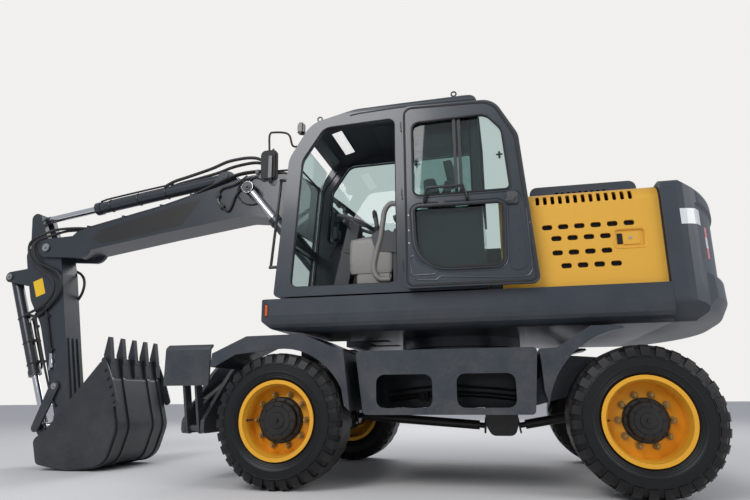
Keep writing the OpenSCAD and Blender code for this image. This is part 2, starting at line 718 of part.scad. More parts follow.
module right_housing() {
    half = deck_half - 20;
    color(steel) placed() {
        side(-half, -slot_half - 20) polygon(rounded([[-hood_front + seat, deck_z + seat, 0],
            [deck_front - 330, deck_z + seat, 0], [deck_front - 345, step_z, 60],
            [deck_front - 700, step_z, 20], [deck_front - 760, tank_z, 60], [-hood_front + seat, tank_z, 0]]));
        translate([250, -half + 330, tank_z - 1]) cylinder(r = 55, h = 40, $fn = 48);
    }
}
// Vent door in the hood's right side, on two hinges at its front edge
function right_door_x() = [-deck_rear + 110 + run, -hood_front - 90 - run];
module right_door() {
    half = deck_half - 50;
    x0 = right_door_x()[0];
    x1 = right_door_x()[1];
    z0 = deck_z + 60 + run;
    z1 = hood_top - 140 - run;
    color(amber) placed() difference() {
        union() {
            side(-half - 12, -half + 8)
                polygon(rounded([[x0, z0, 30], [x1, z0, 30], [x1, z1, 30], [x0, z1, 30]]));
            for (z = [z0 + 80, z1 - 140]) right_hinge(z, 60, x1 - 40, x1 + run / 2);
        }
        for (i = [0:8]) side(-half - 20, -half + 20) polygon(rounded([
            [x0 + 130 + 70 * i, 1700, 14], [x0 + 160 + 70 * i, 1700, 14],
            [x0 + 160 + 70 * i, 1930, 14], [x0 + 130 + 70 * i, 1930, 14]], 3));
        translate([x1 + run / 2, -half - 12, z0]) cylinder(r = 6 + pin_gap, h = z1 - z0, $fn = 32);
        for (z = [z0 + 80, z1 - 140]) box(x1 - 14, x1 + 1, -half - 13, -half + 9, z - 28, z - 0.5);
    }
}
// One leaf of a hinge of the right door, from height z up
module right_hinge(z, h, from, to) {
    half = deck_half - 50;
    axis = right_door_x()[1] + run / 2;
    translate([axis, -half - 12, z]) cylinder(r = 11, h = h, $fn = 32);
    box(min(from, axis), max(to, axis), -half - 20, -half - 11, z, z + h);
}

/* Cab */

function cab_outline(d) = rounded([[-cab_rear + d, deck_z + cab_lift + d, 30],
    [cab_front - d, deck_z + cab_lift + d, 40], [cab_front - 101 - d, brow_z, 200],
    [1094 - d, roof_z - 94 - d, 220], [700, roof_z - d, 200], [-cab_rear + d, roof_z + 30 - d, 90]], 6);

module cab_shell() {
    color(steel) placed() difference() {
        intersection() {
            side(cab_in, cab_out) polygon(cab_outline(0));
            cross(-cab_rear - 1, cab_front + 1) polygon(rounded([[cab_in, deck_z, 0], [cab_out, deck_z, 0],
                [cab_out, roof_z + 40, 70], [cab_in, roof_z + 40, 70]]));
        }
        side(cab_in + cab_wall, cab_out - cab_wall) polygon(cab_outline(cab_wall));
        doorway();
        cab_windows();
    }
    // brackets and pins for the door
    color(steel) placed() for (z = hinge_places) {
        box(hinge_x - 7, hinge_x + 7, cab_out - 2, hinge_y, z - 26, z - 1);
        translate([hinge_x, hinge_y, z - 26]) cylinder(r = 8, h = 25, $fn = 32);
        translate([hinge_x, hinge_y, z - 2]) cylinder(r = 6, h = 50, $fn = 32);
    }
    color(steel) placed() for (x = [-106, 1040]) side(cab_out - 200, cab_out - 180)
        lifting_eye(x, x > 0 ? roof_z - 72 : roof_z + 24);
}
module lifting_eye(x, z) {
    difference() {
        union() {
            translate([x, z + 50]) circle(34, $fn = 48);
            translate([x - 45, z - 10]) square([90, 60]);
        }
        translate([x, z + 50]) circle(17, $fn = 48);
    }
}
module doorway() {
    side(cab_out - cab_wall - 1, cab_out + 1) doorway_outline(0);
}
module doorway_outline(d) {
    polygon(rounded([[hinge_x + 60 - d, deck_z + 85 - d, 60], [cab_front - 135 + d, deck_z + 85 - d, 60],
        [cab_front - 215 + d, brow_z - 24, 160], [980 + d, roof_z - 140 + d, 120],
        [hinge_x + 60 - d, roof_z - 120 + d, 60]]));
}
// Window openings, one by one
module cab_windows() {
    // rear side window on the door's side
    side(cab_out - cab_wall - 1, cab_out + 1) polygon(rounded([[-cab_rear + 70, 2080, 60],
        [hinge_x - 60, 2080, 60], [hinge_x - 60, roof_z - 140, 60], [-cab_rear + 70, roof_z - 140, 60]]));
    // windows on the boom's side
    side(cab_in - 1, cab_in + cab_wall + 1) polygon(rounded([[-cab_rear + 70, 2080, 60],
        [cab_front - 190, 2080, 60], [cab_front - 230, brow_z - 24, 120], [980, roof_z - 160, 120],
        [-cab_rear + 70, roof_z - 140, 60]]));
    // windscreen and the pane under it
    box(cab_front - 330, cab_front + 100, cab_in + 70, cab_out - 70, 1990, brow_z + 16);
    box(cab_front - 330, cab_front + 100, cab_in + 70, cab_out - 70, 1520, 1930);
    side(cab_in + 70, cab_out - 70) polygon([[1060, brow_z + 15], [1400, brow_z + 15],
        [1400, roof_z - 220], [1215, roof_z - 160], [1060, roof_z - 220]]);
    // rear window and roof hatch
    box(-cab_rear - 1, -cab_rear + cab_wall + 1, cab_in + 90, cab_out - 90, 2120, roof_z - 160);
    box(150, 720, cab_in + 160, cab_out - 160, roof_z - 90, roof_z + 60);
}
module cab_glass() {
    t = 6;
    color(pane) placed() {
        side(cab_out - cab_wall / 2 - t, cab_out - cab_wall / 2) polygon(rounded([
            [-cab_rear + 70 + seat, 2080 + seat, 60], [hinge_x - 60 - seat, 2080 + seat, 60],
            [hinge_x - 60 - seat, roof_z - 140 - seat, 60], [-cab_rear + 70 + seat, roof_z - 140 - seat, 60]]));
        side(cab_in + cab_wall / 2, cab_in + cab_wall / 2 + t) polygon(rounded([
            [-cab_rear + 70 + seat, 2080 + seat, 60], [cab_front - 190 - seat, 2080 + seat, 60],
            [cab_front - 230 - seat, brow_z - 24, 120], [980, roof_z - 160 - seat, 120],
            [-cab_rear + 70 + seat, roof_z - 140 - seat, 60]]));
        box(-cab_rear + cab_wall / 2, -cab_rear + cab_wall / 2 + t, cab_in + 90 + seat,
            cab_out - 90 - seat, 2120 + seat, roof_z - 160 - seat);
        box(150 + seat, 720 - seat, cab_in + 160 + seat, cab_out - 160 - seat, roof_z - 30, roof_z - 24);
        // windscreen in two parts, raked with the cab's front
        side(cab_in + 70 + seat, cab_out - 70 - seat) polygon([[front_at(1990) - 30, 1990 + seat],
            [front_at(1990) - 24, 1990 + seat], [front_at(brow_z - 4) - 24, brow_z - 4], [1200, roof_z - 220],
            [1194, roof_z - 224], [front_at(brow_z - 4) - 30, brow_z - 4]]);
        side(cab_in + 70 + seat, cab_out - 70 - seat) polygon([[front_at(1520) - 30, 1520 + seat],
            [front_at(1520) - 24, 1520 + seat], [front_at(1930) - 24, 1930 - seat],
            [front_at(1930) - 30, 1930 - seat]]);
    }
}
// Place of the raked cab front at a height
function front_at(z) = cab_front - 101 * (z - deck_z - cab_lift) / (brow_z - deck_z - cab_lift);

module seat_unit() {
    m = (cab_in + cab_out) / 2;
    f = deck_z + cab_lift + cab_wall;
    color("#7b7f84") placed() {
        box(120, 480, m - 160, m + 160, f + seat, f + 180);
        side(m - 250, m + 250) polygon(rounded([[60, f + 180, 20], [600, f + 180, 40], [620, f + 310, 60],
            [130, f + 290, 40], [20, f + 960, 50], [-110, f + 940, 60]]));
        side(m - 140, m + 140) polygon(rounded([[-115, f + 930, 10], [15, f + 950, 10],
            [-10, f + 1130, 40], [-110, f + 1120, 40]]));
    }
}
module console() {
    m = (cab_in + cab_out) / 2;
    f = deck_z + cab_lift + cab_wall;
    color(dark) placed() {
        for (s = [-1, 1]) {
            side(m + s * 310 - 45, m + s * 310 + 45) polygon(rounded([[100, f + 240, 40],
                [560, f + 300, 40], [600, f + 430, 40], [540, f + 470, 30], [80, f + 400, 40]]));
            side(m + s * 310 - 30, m + s * 310 + 30) polygon([[150, f + seat], [420, f + seat],
                [420, f + 300], [150, f + 260]]);
            translate([545, m + s * 310, f + 440]) rotate([0, 8, 0]) cylinder(r = 18, h = 170, $fn = 32);
        }
        side(m - 70, m + 70) polygon(rounded([[880, f + seat, 0], [1010, f + seat, 0],
            [860, f + 640, 30], [760, f + 620, 30]]));
        translate([810, m, f + 622]) rotate([0, -24, 0]) {
            rotate_extrude($fn = 72) translate([180, 20]) circle(15, $fn = 24);
            cylinder(r = 45, h = 40, $fn = 48);
            for (a = [30, 150, 270]) rotate(a) translate([30, -14, 12]) cube([150, 28, 16]);
        }
        side(m - 190, m - 90) polygon([[980, f + seat], [1180, f + seat], [1190, f + 50], [1120, f + 60]]);
        side(m + 90, m + 190) polygon([[980, f + seat], [1180, f + seat], [1190, f + 50], [1120, f + 60]]);
    }
}

// Door as it lies when shut; its outline follows the cab's front
function door_outline(d) = rounded([[hinge_x + 9 + d, deck_z + 20 + d, 50],
    [cab_front - 78 - d, deck_z + 20 + d, 50], [cab_front - 165 - d, brow_z - 14, 160],
    [1050 - d, roof_z - 95 - d, 160], [hinge_x + 9 + d, roof_z - 75 - d, 60]], 5);
module at_hinge() {
    translate([hinge_x, hinge_y, 0]) rotate(door_angle) translate([-hinge_x, -hinge_y, 0]) children();
}
module upper_window(d) {
    polygon(rounded([[hinge_x + 75 - d, 2060 - d, 50], [cab_front - 190 + d, 2060 - d, 50],
        [cab_front - 225 + d, brow_z - 34, 120], [1010 + d, roof_z - 165 + d, 100],
        [hinge_x + 75 - d, roof_z - 150 + d, 50]]));
}
module lower_window(d) {
    polygon(rounded([[hinge_x + 150 - d, 1530 - d, 50], [cab_front - 170 + d, 1530 - d, 160],
        [cab_front - 185 + d, 1960 + d, 160], [hinge_x + 150 - d, 1960 + d, 50]]));
}
module door() {
    y0 = door_y;
    color(steel) placed() at_hinge() {
        difference() {
            union() {
                side(y0, y0 + door_t) polygon(door_outline(0));
                intersection() {
                    side(y0 - door_bead, y0 + 1) lower_window(28);
                    side(y0 - door_bead - 1, y0 + 2) doorway_outline(-run);
                }
                intersection() {
                    side(y0 - door_bead / 2, y0 + 1) upper_window(22);
                    side(y0 - door_bead - 1, y0 + 2) doorway_outline(-run);
                }
            }
            side(y0 - door_bead - 1, y0 + door_t + 1) upper_window(0);
            side(y0 - door_bead - 1, y0 + door_t + 1) lower_window(0);
            // latch pocket and the pressed corner under the windows
            side(y0 - 1, y0 + door_t / 3) polygon(rounded([[hinge_x + 40, 1990, 14], [hinge_x + 120, 1990, 14],
                [hinge_x + 120, 2035, 14], [hinge_x + 40, 2035, 14]], 3));
        }
        tube_path([for (p = [[300, 1998, 0], [300, 2030, 34], [600, 2030, 34], [600, 1998, 0]])
            [hinge_x + p.x, y0 - 2 - p.z - 12, p.y]], 11);
        for (u = [300, 600]) translate([hinge_x + u, y0 + 1, 1998]) rotate([90, 0, 0])
            cylinder(r = 20, h = 16, $fn = 32);
        for (z = hinge_places) difference() {
            union() {
                translate([hinge_x, hinge_y, z]) cylinder(r = 11, h = 50, $fn = 32);
                box(hinge_x, hinge_x + 60, hinge_y - 9, hinge_y - 2, z, z + 50);
            }
            translate([hinge_x, hinge_y, z - 1]) cylinder(r = 6 + pin_gap, h = 52, $fn = 32);
        }
    }
}
module door_glass() {
    m = door_y + door_t / 2;
    color(pane) placed() at_hinge() {
        side(m - 3, m + 3) upper_window(-seat);
        side(m - 3, m + 3) lower_window(-seat);
    }
}
// Hand rails on the cab and the right side, and the mirror on its arm
module handrails() {
    y = cab_out - 40;
    far = -deck_half + 60;
    color(black) placed() {
        tube_path([[front_at(1687) + seat, y, 1700], [cab_front + 45, y, 1700],
            [front_at(brow_z - 174) + 62, y, brow_z - 174],
            [front_at(brow_z - 187) + seat, y, brow_z - 174]], 13);
        tube_path([[front_at(brow_z - 94) + seat, y, brow_z - 84], [cab_front + 15, y, brow_z - 84],
            [cab_front + 35, cab_out + 20, brow_z - 14], [cab_front + 35, cab_out + 20, roof_z - 300]], 9);
        cross(cab_front + 20, cab_front + 50) polygon(rounded([[cab_out - 40, roof_z - 620, 30],
            [cab_out + 80, roof_z - 620, 40], [cab_out + 80, roof_z - 360, 40],
            [cab_out - 40, roof_z - 360, 30]], 4));
        tube_path([[deck_front - 420, far, step_z + seat], [deck_front - 420, far, tank_z + 170],
            [deck_front - 850, far, tank_z + 250], [deck_front - 850, far, tank_z + seat]], 14);
    }
}
// Round tube through a list of points; every second stretch is a little thinner and
// ends inside its neighbours
module tube_path(list, r) {
    last = len(list) - 2;
    for (i = [0:last]) {
        d = list[i + 1] - list[i];
        thin = i % 2 == 1;
        from = i == 0 || thin ? 0 : -r;
        to = norm(d) + (i == last || thin ? 0 : r);
        translate(list[i]) rotate([0, acos(d.z / norm(d)), atan2(d.y, d.x)])
            translate([0, 0, from]) cylinder(r = thin ? r * 0.88 : r, h = to - from, $fn = 24);
    }
}

/* Working equipment */

module at_boom() {
    translate([foot.x, 0, foot.y]) rotate([0, -boom_angle, 0]) children();
}
module at_stick() {
    translate([tip.x, 0, tip.y]) rotate([0, -stick_angle, 0]) children();
}
module at_bucket() {
    translate([bucket_pin.x, 0, bucket_pin.y]) rotate([0, -bucket_angle, 0]) children();
}

module boom() {
    l = boom_len;
    body = rounded([[-100, 60, 90], [20, -105, 100], [1000, 380, 200], [1470, 590, 400], [1800, 575, 300],
        [2718, 295, 500], [3640, 0, 200], [l - 322, -52, 40], [l - 203, 45, 50], [l - 250, 110, 50],
        [boom_top[2].x, boom_top[2].y, 100], [boom_top[1].x, boom_top[1].y, 500],
        [boom_top[0].x, boom_top[0].y, 400], [1800, 1030, 300], [1413, 1070, 200],
        [1180, 1010, 200]]);
    color(steel) placed() at_boom() difference() {
        union() {
            side(-boom_half, boom_half) polygon(body);
            // fork at the tip
            sides(stick_half + run, boom_half) fork_profile(l);
            // ears for the stick cylinder
            sides(stick_cyl_r + run, stick_cyl_r + run + 28) polygon(rounded([[1880, 900, 0], [2330, 780, 0],
                [2215, 1060, 60], [2080, 1075, 60]]));
            mirrored() boom_pipes();
            // bosses for the boom cylinders
            for (s = [-1, 1]) bar([1753, 852], 62, s > 0 ? boom_half - 1 : -boom_half - 14,
                s > 0 ? boom_half + 14 : -boom_half + 1);
        }
        bar([0, 0], 45 + pin_gap, -boom_half - 1, boom_half + 1);
        bar([l, 0], 40 + pin_gap, -boom_half - 1, boom_half + 1);
        bar([2144, 1027], 35 + pin_gap, -boom_half - 1, boom_half + 1);
    }
    color(chrome) placed() at_boom() bar([2144, 1027], 35, -stick_cyl_r - run - 40, stick_cyl_r + run + 40);
}
// Pair of pipes along one edge of the boom's top, on saddles
module boom_pipes() {
    far = boom_half - pipe_r - 10;
    near = far - 2 * pipe_r - 10;
    for (y = [near, far]) tube_path([for (u = [2400, boom_top[1].x, 3700])
        [u, y, lookup(u, boom_top) + pipe_r + 4]], pipe_r);
    for (u = [2460, boom_top[1].x, 3230, 3640]) box(u - 18, u + 18, near - pipe_r - 8, far + pipe_r + 8,
        lookup(u, boom_top) - 14, lookup(u, boom_top) + 2 * pipe_r + 9);
}
// Side view of the fork that holds the stick
module fork_profile(l) {
    strap([l - 420, 60], [l, 0], 130, 105);
}

module cyl_barrel(a, b, y, r, len, eye_r, eye_half, pin_r) {
    difference() {
        union() {
            rod(a, b, y, r, eye_r * 0.6, len);
            rod(a, b, y, r + 8, len - 60, len);
            bar(a, eye_r, y - eye_half, y + eye_half);
        }
        bar(a, pin_r + pin_gap, y - eye_half - 1, y + eye_half + 1);
        rod(a, b, y, r * 0.6 + pin_gap, eye_r + 20, len + 1);
    }
}
module cyl_rod(a, b, y, r, from, eye_r, eye_half) {
    rod(a, b, y, r, from, norm(b - a) - eye_r * 0.6);
    bar(b, eye_r, y - eye_half, y + eye_half);
}
module boom_barrels() {
    color(steel) placed() for (s = [-1, 1])
        cyl_barrel(boom_base, boom_eye, s * boom_cyl_y, boom_cyl_r, 1380, 64, boom_cyl_r - 2, 35);
}
module boom_rods() {
    color(chrome) placed() for (s = [-1, 1])
        cyl_rod(boom_base, boom_eye, s * boom_cyl_y, boom_cyl_r * 0.6, 480, 62, boom_cyl_r - 8);
}
module stick_barrel() {
    color(steel) placed() cyl_barrel(stick_base, stick_eye, 0, stick_cyl_r, 1640, 62, stick_cyl_r, 35);
}
module stick_rod() {
    color(chrome) placed() cyl_rod(stick_base, stick_eye, 0, stick_cyl_r * 0.6, 700, 60, 45);
}

module stick() {
    l = stick_len;
    body = rounded([[-120, -60, 100], [60, -130, 80], [330, -140, 60], [1234, -108, 400], [l - 20, -92, 80],
        [l + 95, 0, 90], [l - 30, 88, 60], [829, 181, 500], [531, 285, 200], [240, 300, 80],
        [-40, 300, 100], [-140, 120, 100]]);
    color(steel) placed() at_stick() difference() {
        union() {
            side(-stick_half, stick_half) polygon(body);
            // ears for the stick cylinder and for the bucket cylinder
            sides(52, stick_half) strap([-409, 135], [-60, 120], 62, 120);
            sides(bucket_cyl_r + run, bucket_cyl_r + run + 26) strap([173, 553], [260, 240], 60, 110);
            bar([l, 0], 104, -stick_half, stick_half);
            // ribs along the underside
            for (y = [-66, 0, 66]) side(y - 12, y + 12) polygon([[1050, -100], [1060, -126], [1234, -122],
                [l - 190, -108], [l - 170, -90]]);
        }
        bar([0, 0], 40 + pin_gap, -stick_half - 1, stick_half + 1);
        bar([l, 0], 35 + pin_gap, -stick_half - 1, stick_half + 1);
        bar([l - 338, 48], 30 + pin_gap, -stick_half - 1, stick_half + 1);
        bar([173, 553], 32 + pin_gap, -stick_half - 1, stick_half + 1);
    }
    color(chrome) placed() at_stick() {
        bar([0, 0], 40, -boom_half - 12, boom_half + 12);
        bar([173, 553], 32, -bucket_cyl_r - run - 38, bucket_cyl_r + run + 38);
        bar([l - 338, 48], 30, -stick_half - 26, stick_half + 26);
    }
}

module bucket_barrel() {
    color(steel) placed() cyl_barrel(bucket_base, link_pin, 0, bucket_cyl_r, 1180, 58, bucket_cyl_r, 32);
}
module bucket_rod() {
    color(chrome) placed() cyl_rod(bucket_base, link_pin, 0, bucket_cyl_r * 0.6, 640, 52, 40);
}
module rocker() {
    color(steel) placed() {
        difference() {
            sides(stick_half + run, stick_half + run + 22) strap(rocker_pin, link_pin, 55, 44);
            bar(rocker_pin, 30 + pin_gap, -200, 200);
        }
        for (s = [-1, 1]) bar(link_pin, 28, s > 0 ? 60 : -stick_half - run - 1,
            s > 0 ? stick_half + run + 1 : -60);
    }
}
module link() {
    color(steel) placed() difference() {
        union() {
            sides(52, 88) strap(link_pin, link_end, 48, 50);
            bar(link_end, 50, -108, 108);
        }
        bar(link_pin, 28 + pin_gap, -200, 200);
    }
}

// Adaptor welded on the edge, with the tooth's cap on it
module tooth() {
    side(-38, 38) polygon([[770, 215], [835, 190], [925, 40], [905, -20], [852, -6], [785, 120]]);
    side(-30, 30) polygon([[868, 92], [905, 84], [1035, -140], [1025, -150], [884, -34], [850, 40]]);
}
// Bucket in its own frame: its pin at the origin, its cutting edge along x
module bucket() {
    w = bucket_w / 2;
    t = bucket_t;
    shell = [[860, 10, 20], [800, 217, 60], [600, 640, 200], [300, 830, 180], [-20, 610, 120],
        [-250, 345, 60], [-150, 130, 60]];
    outer = rounded(concat(shell, [[0, 150, 40]]));
    color(dark) placed() at_bucket() difference() {
        union() {
            difference() {
                union() {
                    side(-w, w) polygon(outer);
                    // ears that hold the stick and the link
                    sides(stick_half + run, stick_half + run + 26) polygon(rounded([[-90, -10, 80],
                        [20, -90, 90], [110, 40, 60], [0, 400, 0], [-180, 430, 0], [-360, 300, 70],
                        [-310, 160, 60]]));
                    // wear straps round the back
                    for (y = [-0.86, -0.46, 0.46, 0.86]) side(y * w - 22, y * w + 22)
                        polygon(rounded([for (p = shell) let (q = [p.x, p.y] +
                            strap_t * unit([p.x, p.y] - [300, 300])) [q.x, q.y, p.z + strap_t]]));
                }
                side(-w + t, w - t) polygon(rounded([[880, 20, 20], [800 - t, 217 - t / 2, 60], [590, 620, 190],
                    [296, 802, 170], [-5, 590, 110], [-218, 340, 50], [-135, 160, 50], [0, 180, 40]]));
                side(-w + t, w - t)
                    polygon([[900, -40], [0, 100], [-100, 180], [0, 400], [700, 300], [870, 120]]);
            }
            // cutting edge and its teeth
            side(-w - 10, w + 10) polygon([[770, 200], [800, 210], [905, 20], [880, 0], [860, 10]]);
            for (i = [0:teeth - 1]) translate([0, -w + 60 + (bucket_w - 120) * i / (teeth - 1), 0])
                tooth();
            // side cutters outside the walls
            sides(w - 1, w + 12) polygon(rounded([[690, 470, 30], [745, 250, 0], [860, 10, 10], [905, 20, 10],
                [842, 262, 20], [760, 480, 30]], 3));
        }
        bar([0, 0], 35 + pin_gap, -300, 300);
    }
    color(chrome) placed() {
        bar(bucket_pin, 35, -stick_half - run - 40, stick_half + run + 40);
        for (s = [-1, 1]) bar(link_end, 26, s > 0 ? 110 : -stick_half - run - 2,
            s > 0 ? stick_half + run + 2 : -110);
    }
}

chassis_frame();
fenders();
fixed_axle();
steered_axle();
driveline();
stabilizer_frame();
knuckle(1);  // knuckle_left
knuckle(-1);  // knuckle_right
rim(axle_x, 1, hub_r_fixed);  // rim_front_left
rim(axle_x, -1, hub_r_fixed);  // rim_front_right
rim(-axle_x, 1, hub_r_steered);  // rim_rear_left
rim(-axle_x, -1, hub_r_steered);  // rim_rear_right
tyre(axle_x, 1);  // tyre_front_left
tyre(axle_x, -1);  // tyre_front_right
tyre(-axle_x, 1);  // tyre_rear_left
tyre(-axle_x, -1);  // tyre_rear_right
stabilizer_arm(1);  // stabilizer_arm_left
stabilizer_arm(-1);  // stabilizer_arm_right
stabilizer_barrel(1);  // stabilizer_barrel_left
stabilizer_barrel(-1);  // stabilizer_barrel_right
stabilizer_rod(1);  // stabilizer_rod_left
stabilizer_rod(-1);  // stabilizer_rod_right
platform();
counterweight();
hood();
hood_lid();
engine();
right_housing();
right_door();
cab_shell();
cab_glass();
seat_unit();
console();
door();
door_glass();
handrails();
boom();
boom_barrels();
boom_rods();
stick_barrel();
stick_rod();
stick();
bucket_barrel();
bucket_rod();
rocker();
link();
bucket();
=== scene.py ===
"""Looks of a wheeled excavator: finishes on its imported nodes, and the small pieces on them.

Places are given in metres from the turning centre of the upper structure: x ahead to the
boom, y to the cab side and z up from the ground. Layout.at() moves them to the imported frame.
"""
from __future__ import annotations

import json
import logging
import math
from dataclasses import dataclass
from enum import Enum
from typing import Any, Callable, Iterable, Sequence

import bmesh
import bpy
from mathutils import Matrix, Vector
from mathutils.geometry import tessellate_polygon

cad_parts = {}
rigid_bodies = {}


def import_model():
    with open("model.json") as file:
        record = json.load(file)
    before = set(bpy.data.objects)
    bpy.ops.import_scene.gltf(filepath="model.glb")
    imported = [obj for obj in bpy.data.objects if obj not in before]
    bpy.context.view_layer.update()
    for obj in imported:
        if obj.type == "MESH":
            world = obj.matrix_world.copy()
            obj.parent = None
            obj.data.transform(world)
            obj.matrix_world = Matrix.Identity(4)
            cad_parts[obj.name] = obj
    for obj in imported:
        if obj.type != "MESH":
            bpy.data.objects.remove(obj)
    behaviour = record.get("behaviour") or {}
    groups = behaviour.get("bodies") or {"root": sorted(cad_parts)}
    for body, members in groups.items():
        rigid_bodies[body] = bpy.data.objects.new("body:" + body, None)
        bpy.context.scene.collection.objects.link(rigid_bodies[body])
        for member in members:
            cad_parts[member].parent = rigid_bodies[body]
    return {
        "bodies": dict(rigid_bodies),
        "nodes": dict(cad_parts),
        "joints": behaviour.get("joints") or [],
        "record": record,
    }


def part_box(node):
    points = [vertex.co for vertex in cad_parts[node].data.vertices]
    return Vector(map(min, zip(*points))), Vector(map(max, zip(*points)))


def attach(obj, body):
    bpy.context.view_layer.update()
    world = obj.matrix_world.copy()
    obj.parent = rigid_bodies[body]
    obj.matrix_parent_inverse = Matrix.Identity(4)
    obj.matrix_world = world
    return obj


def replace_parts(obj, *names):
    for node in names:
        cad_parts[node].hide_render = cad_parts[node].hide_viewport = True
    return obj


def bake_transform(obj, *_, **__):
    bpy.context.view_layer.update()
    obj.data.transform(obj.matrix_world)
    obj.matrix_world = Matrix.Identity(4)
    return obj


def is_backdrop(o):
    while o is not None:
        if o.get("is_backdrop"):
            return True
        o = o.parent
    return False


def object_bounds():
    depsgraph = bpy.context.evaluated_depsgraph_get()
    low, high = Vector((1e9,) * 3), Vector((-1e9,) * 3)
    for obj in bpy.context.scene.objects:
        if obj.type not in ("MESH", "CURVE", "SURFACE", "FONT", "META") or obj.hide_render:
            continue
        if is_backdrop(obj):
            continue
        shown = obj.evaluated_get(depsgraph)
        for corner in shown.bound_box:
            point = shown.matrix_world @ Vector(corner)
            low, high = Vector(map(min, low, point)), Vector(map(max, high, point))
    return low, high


log = logging.getLogger("excavator")

Flat = tuple[float, float]
Colour = tuple[float, float, float]
Place = Callable[[float, float, float], Vector]

SHARP = 0.5  # edges that turn by more, in radians, get a bevel


def tint(code: str) -> Colour:
    """Linear colour of a screen colour code.

    Args:
        code: Six hexadecimal digits after a hash sign.

    Returns:
        Red, green and blue, each from 0 to 1.
    """
    parts = [int(code[i:i + 2], 16) / 255 for i in (1, 3, 5)]
    return tuple(c / 12.92 if c <= 0.04045 else ((c + 0.055) / 1.055) ** 2.4 for c in parts)


def scaled(colour: Colour, factor: float, lift: float = 0.0) -> Colour:
    """Colour times a factor, plus a lift, and no brighter than 1."""
    return tuple(min(1.0, c * factor + lift) for c in colour)


# Geometry of outlines


def heading(a: Flat, b: Flat) -> float:
    """Angle of the way from a to b, in radians."""
    return math.atan2(b[1] - a[1], b[0] - a[0])


def rounded(corners: Sequence[tuple[float, float, float]], steps: int = 6) -> list[Flat]:
    """Outline with rounded corners.

    Args:
        corners: Corner points, each with its radius.
        steps: Stretches on each rounding.

    Returns:
        The outline's points.
    """
    out: list[Flat] = []
    for i, (x, y, r) in enumerate(corners):
        before = Vector(corners[i - 1][:2])
        after = Vector(corners[(i + 1) % len(corners)][:2])
        here = Vector((x, y))
        if r <= 0:
            out.append((x, y))
            continue
        u = (before - here).normalized()
        v = (after - here).normalized()
        half = math.acos(max(-1.0, min(1.0, u.dot(v)))) / 2
        middle = here + (u + v).normalized() * r / math.sin(half)
        start = here + u * r / math.tan(half)
        end = here + v * r / math.tan(half)
        a0 = heading(middle, start)
        turn = (heading(middle, end) - a0 + math.pi) % math.tau - math.pi
        for k in range(steps + 1):
            a = a0 + turn * k / steps
            out.append((middle.x + r * math.cos(a), middle.y + r * math.sin(a)))
    return out


def curved(points: Sequence[Vector], step: float) -> list[Vector]:
    """Smooth path through a few points.

    Args:
        points: Points that the path runs through.
        step: Distance between the path's own points, about.

    Returns:
        The path's points.
    """
    ends = [2 * points[0] - points[1], *points, 2 * points[-1] - points[-2]]
    out: list[Vector] = []
    for a, b, c, d in zip(ends, ends[1:], ends[2:], ends[3:]):
        n = max(2, round((c - b).length / step))
        for k in range(n):
            t = k / n
            out.append(0.5 * (2 * b + (c - a) * t + (2 * a - 5 * b + 4 * c - d) * t ** 2
                              + (3 * b - a - 3 * c + d) * t ** 3))
    out.append(points[-1].copy())
    return out


def rectangle(x0: float, y0: float, x1: float, y1: float, radius: float) -> list[Flat]:
    """Rectangle with rounded corners."""
    return rounded([(x0, y0, radius), (x1, y0, radius), (x1, y1, radius), (x0, y1, radius)])


def along(place: Place, points: Iterable[Sequence[float]], y: float = 0.0, sign: float = 1.0) -> list[Vector]:
    """Places of points of a side view.

    Args:
        place: Gives the place of two coordinates and a distance across.
        points: Pairs of coordinates; a third number is a distance across that replaces y.
        y: Distance across.
        sign: Factor on each distance across, -1 for the other side.

    Returns:
        The places.
    """
    return [place(p[0], p[1], sign * (p[2] if len(p) > 2 else y)) for p in points]


# Finishes


def operator(operation: str, swap: bool = False) -> Callable[["Value", Any], "Value"]:
    """Method of Value that adds a Math node.

    Args:
        operation: The node's operation.
        swap: Whether the other value comes first.

    Returns:
        The method.
    """

    def method(value: "Value", other: Any) -> "Value":
        """The node's result."""
        return value.combine(operation, *((other, value) if swap else (value, other)))

    return method


class Value:
    """A shader socket whose arithmetic adds Math nodes."""

    def __init__(self, shade: "Shade", socket: bpy.types.NodeSocket) -> None:
        """Keeps the shader and the socket."""
        self.shade = shade
        self.socket = socket

    def combine(self, operation: str, *values: Any) -> "Value":
        """Adds one Math node, fed with the values."""
        return self.shade.node("ShaderNodeMath", {"operation": operation}, dict(enumerate(values)))["Value"]

    __add__ = __radd__ = operator("ADD")
    __mul__ = __rmul__ = operator("MULTIPLY")
    __sub__ = operator("SUBTRACT")
    __rsub__ = operator("SUBTRACT", True)
    __pow__ = operator("POWER")
    __gt__ = operator("GREATER_THAN")
    __lt__ = operator("LESS_THAN")

    def within(self, low: float, high: float) -> "Value":
        """Rises from 0 at low to 1 at high."""
        values = {"Value": self, "From Min": low, "From Max": high}
        return self.shade.node("ShaderNodeMapRange", {"clamp": True}, values)["Result"]

    def __abs__(self) -> "Value":
        """Size without its sign."""
        return self.combine("ABSOLUTE", self)

    def sine(self) -> "Value":
        """Sine of the value."""
        return self.combine("SINE", self)

    def angle(self, across: "Value") -> "Value":
        """Angle of the point (across, self), in radians."""
        return self.combine("ARCTAN2", self, across)

    def most(self, other: "Value") -> "Value":
        """The greater of the two."""
        return self.combine("MAXIMUM", self, other)


class Result:
    """The outputs of a node, by name."""

    def __init__(self, shade: "Shade", node: bpy.types.Node) -> None:
        """Keeps the shader and the node."""
        self.shade = shade
        self.node = node

    def __getitem__(self, name: str) -> Value:
        """Output of that name."""
        return Value(self.shade, self.node.outputs[name])


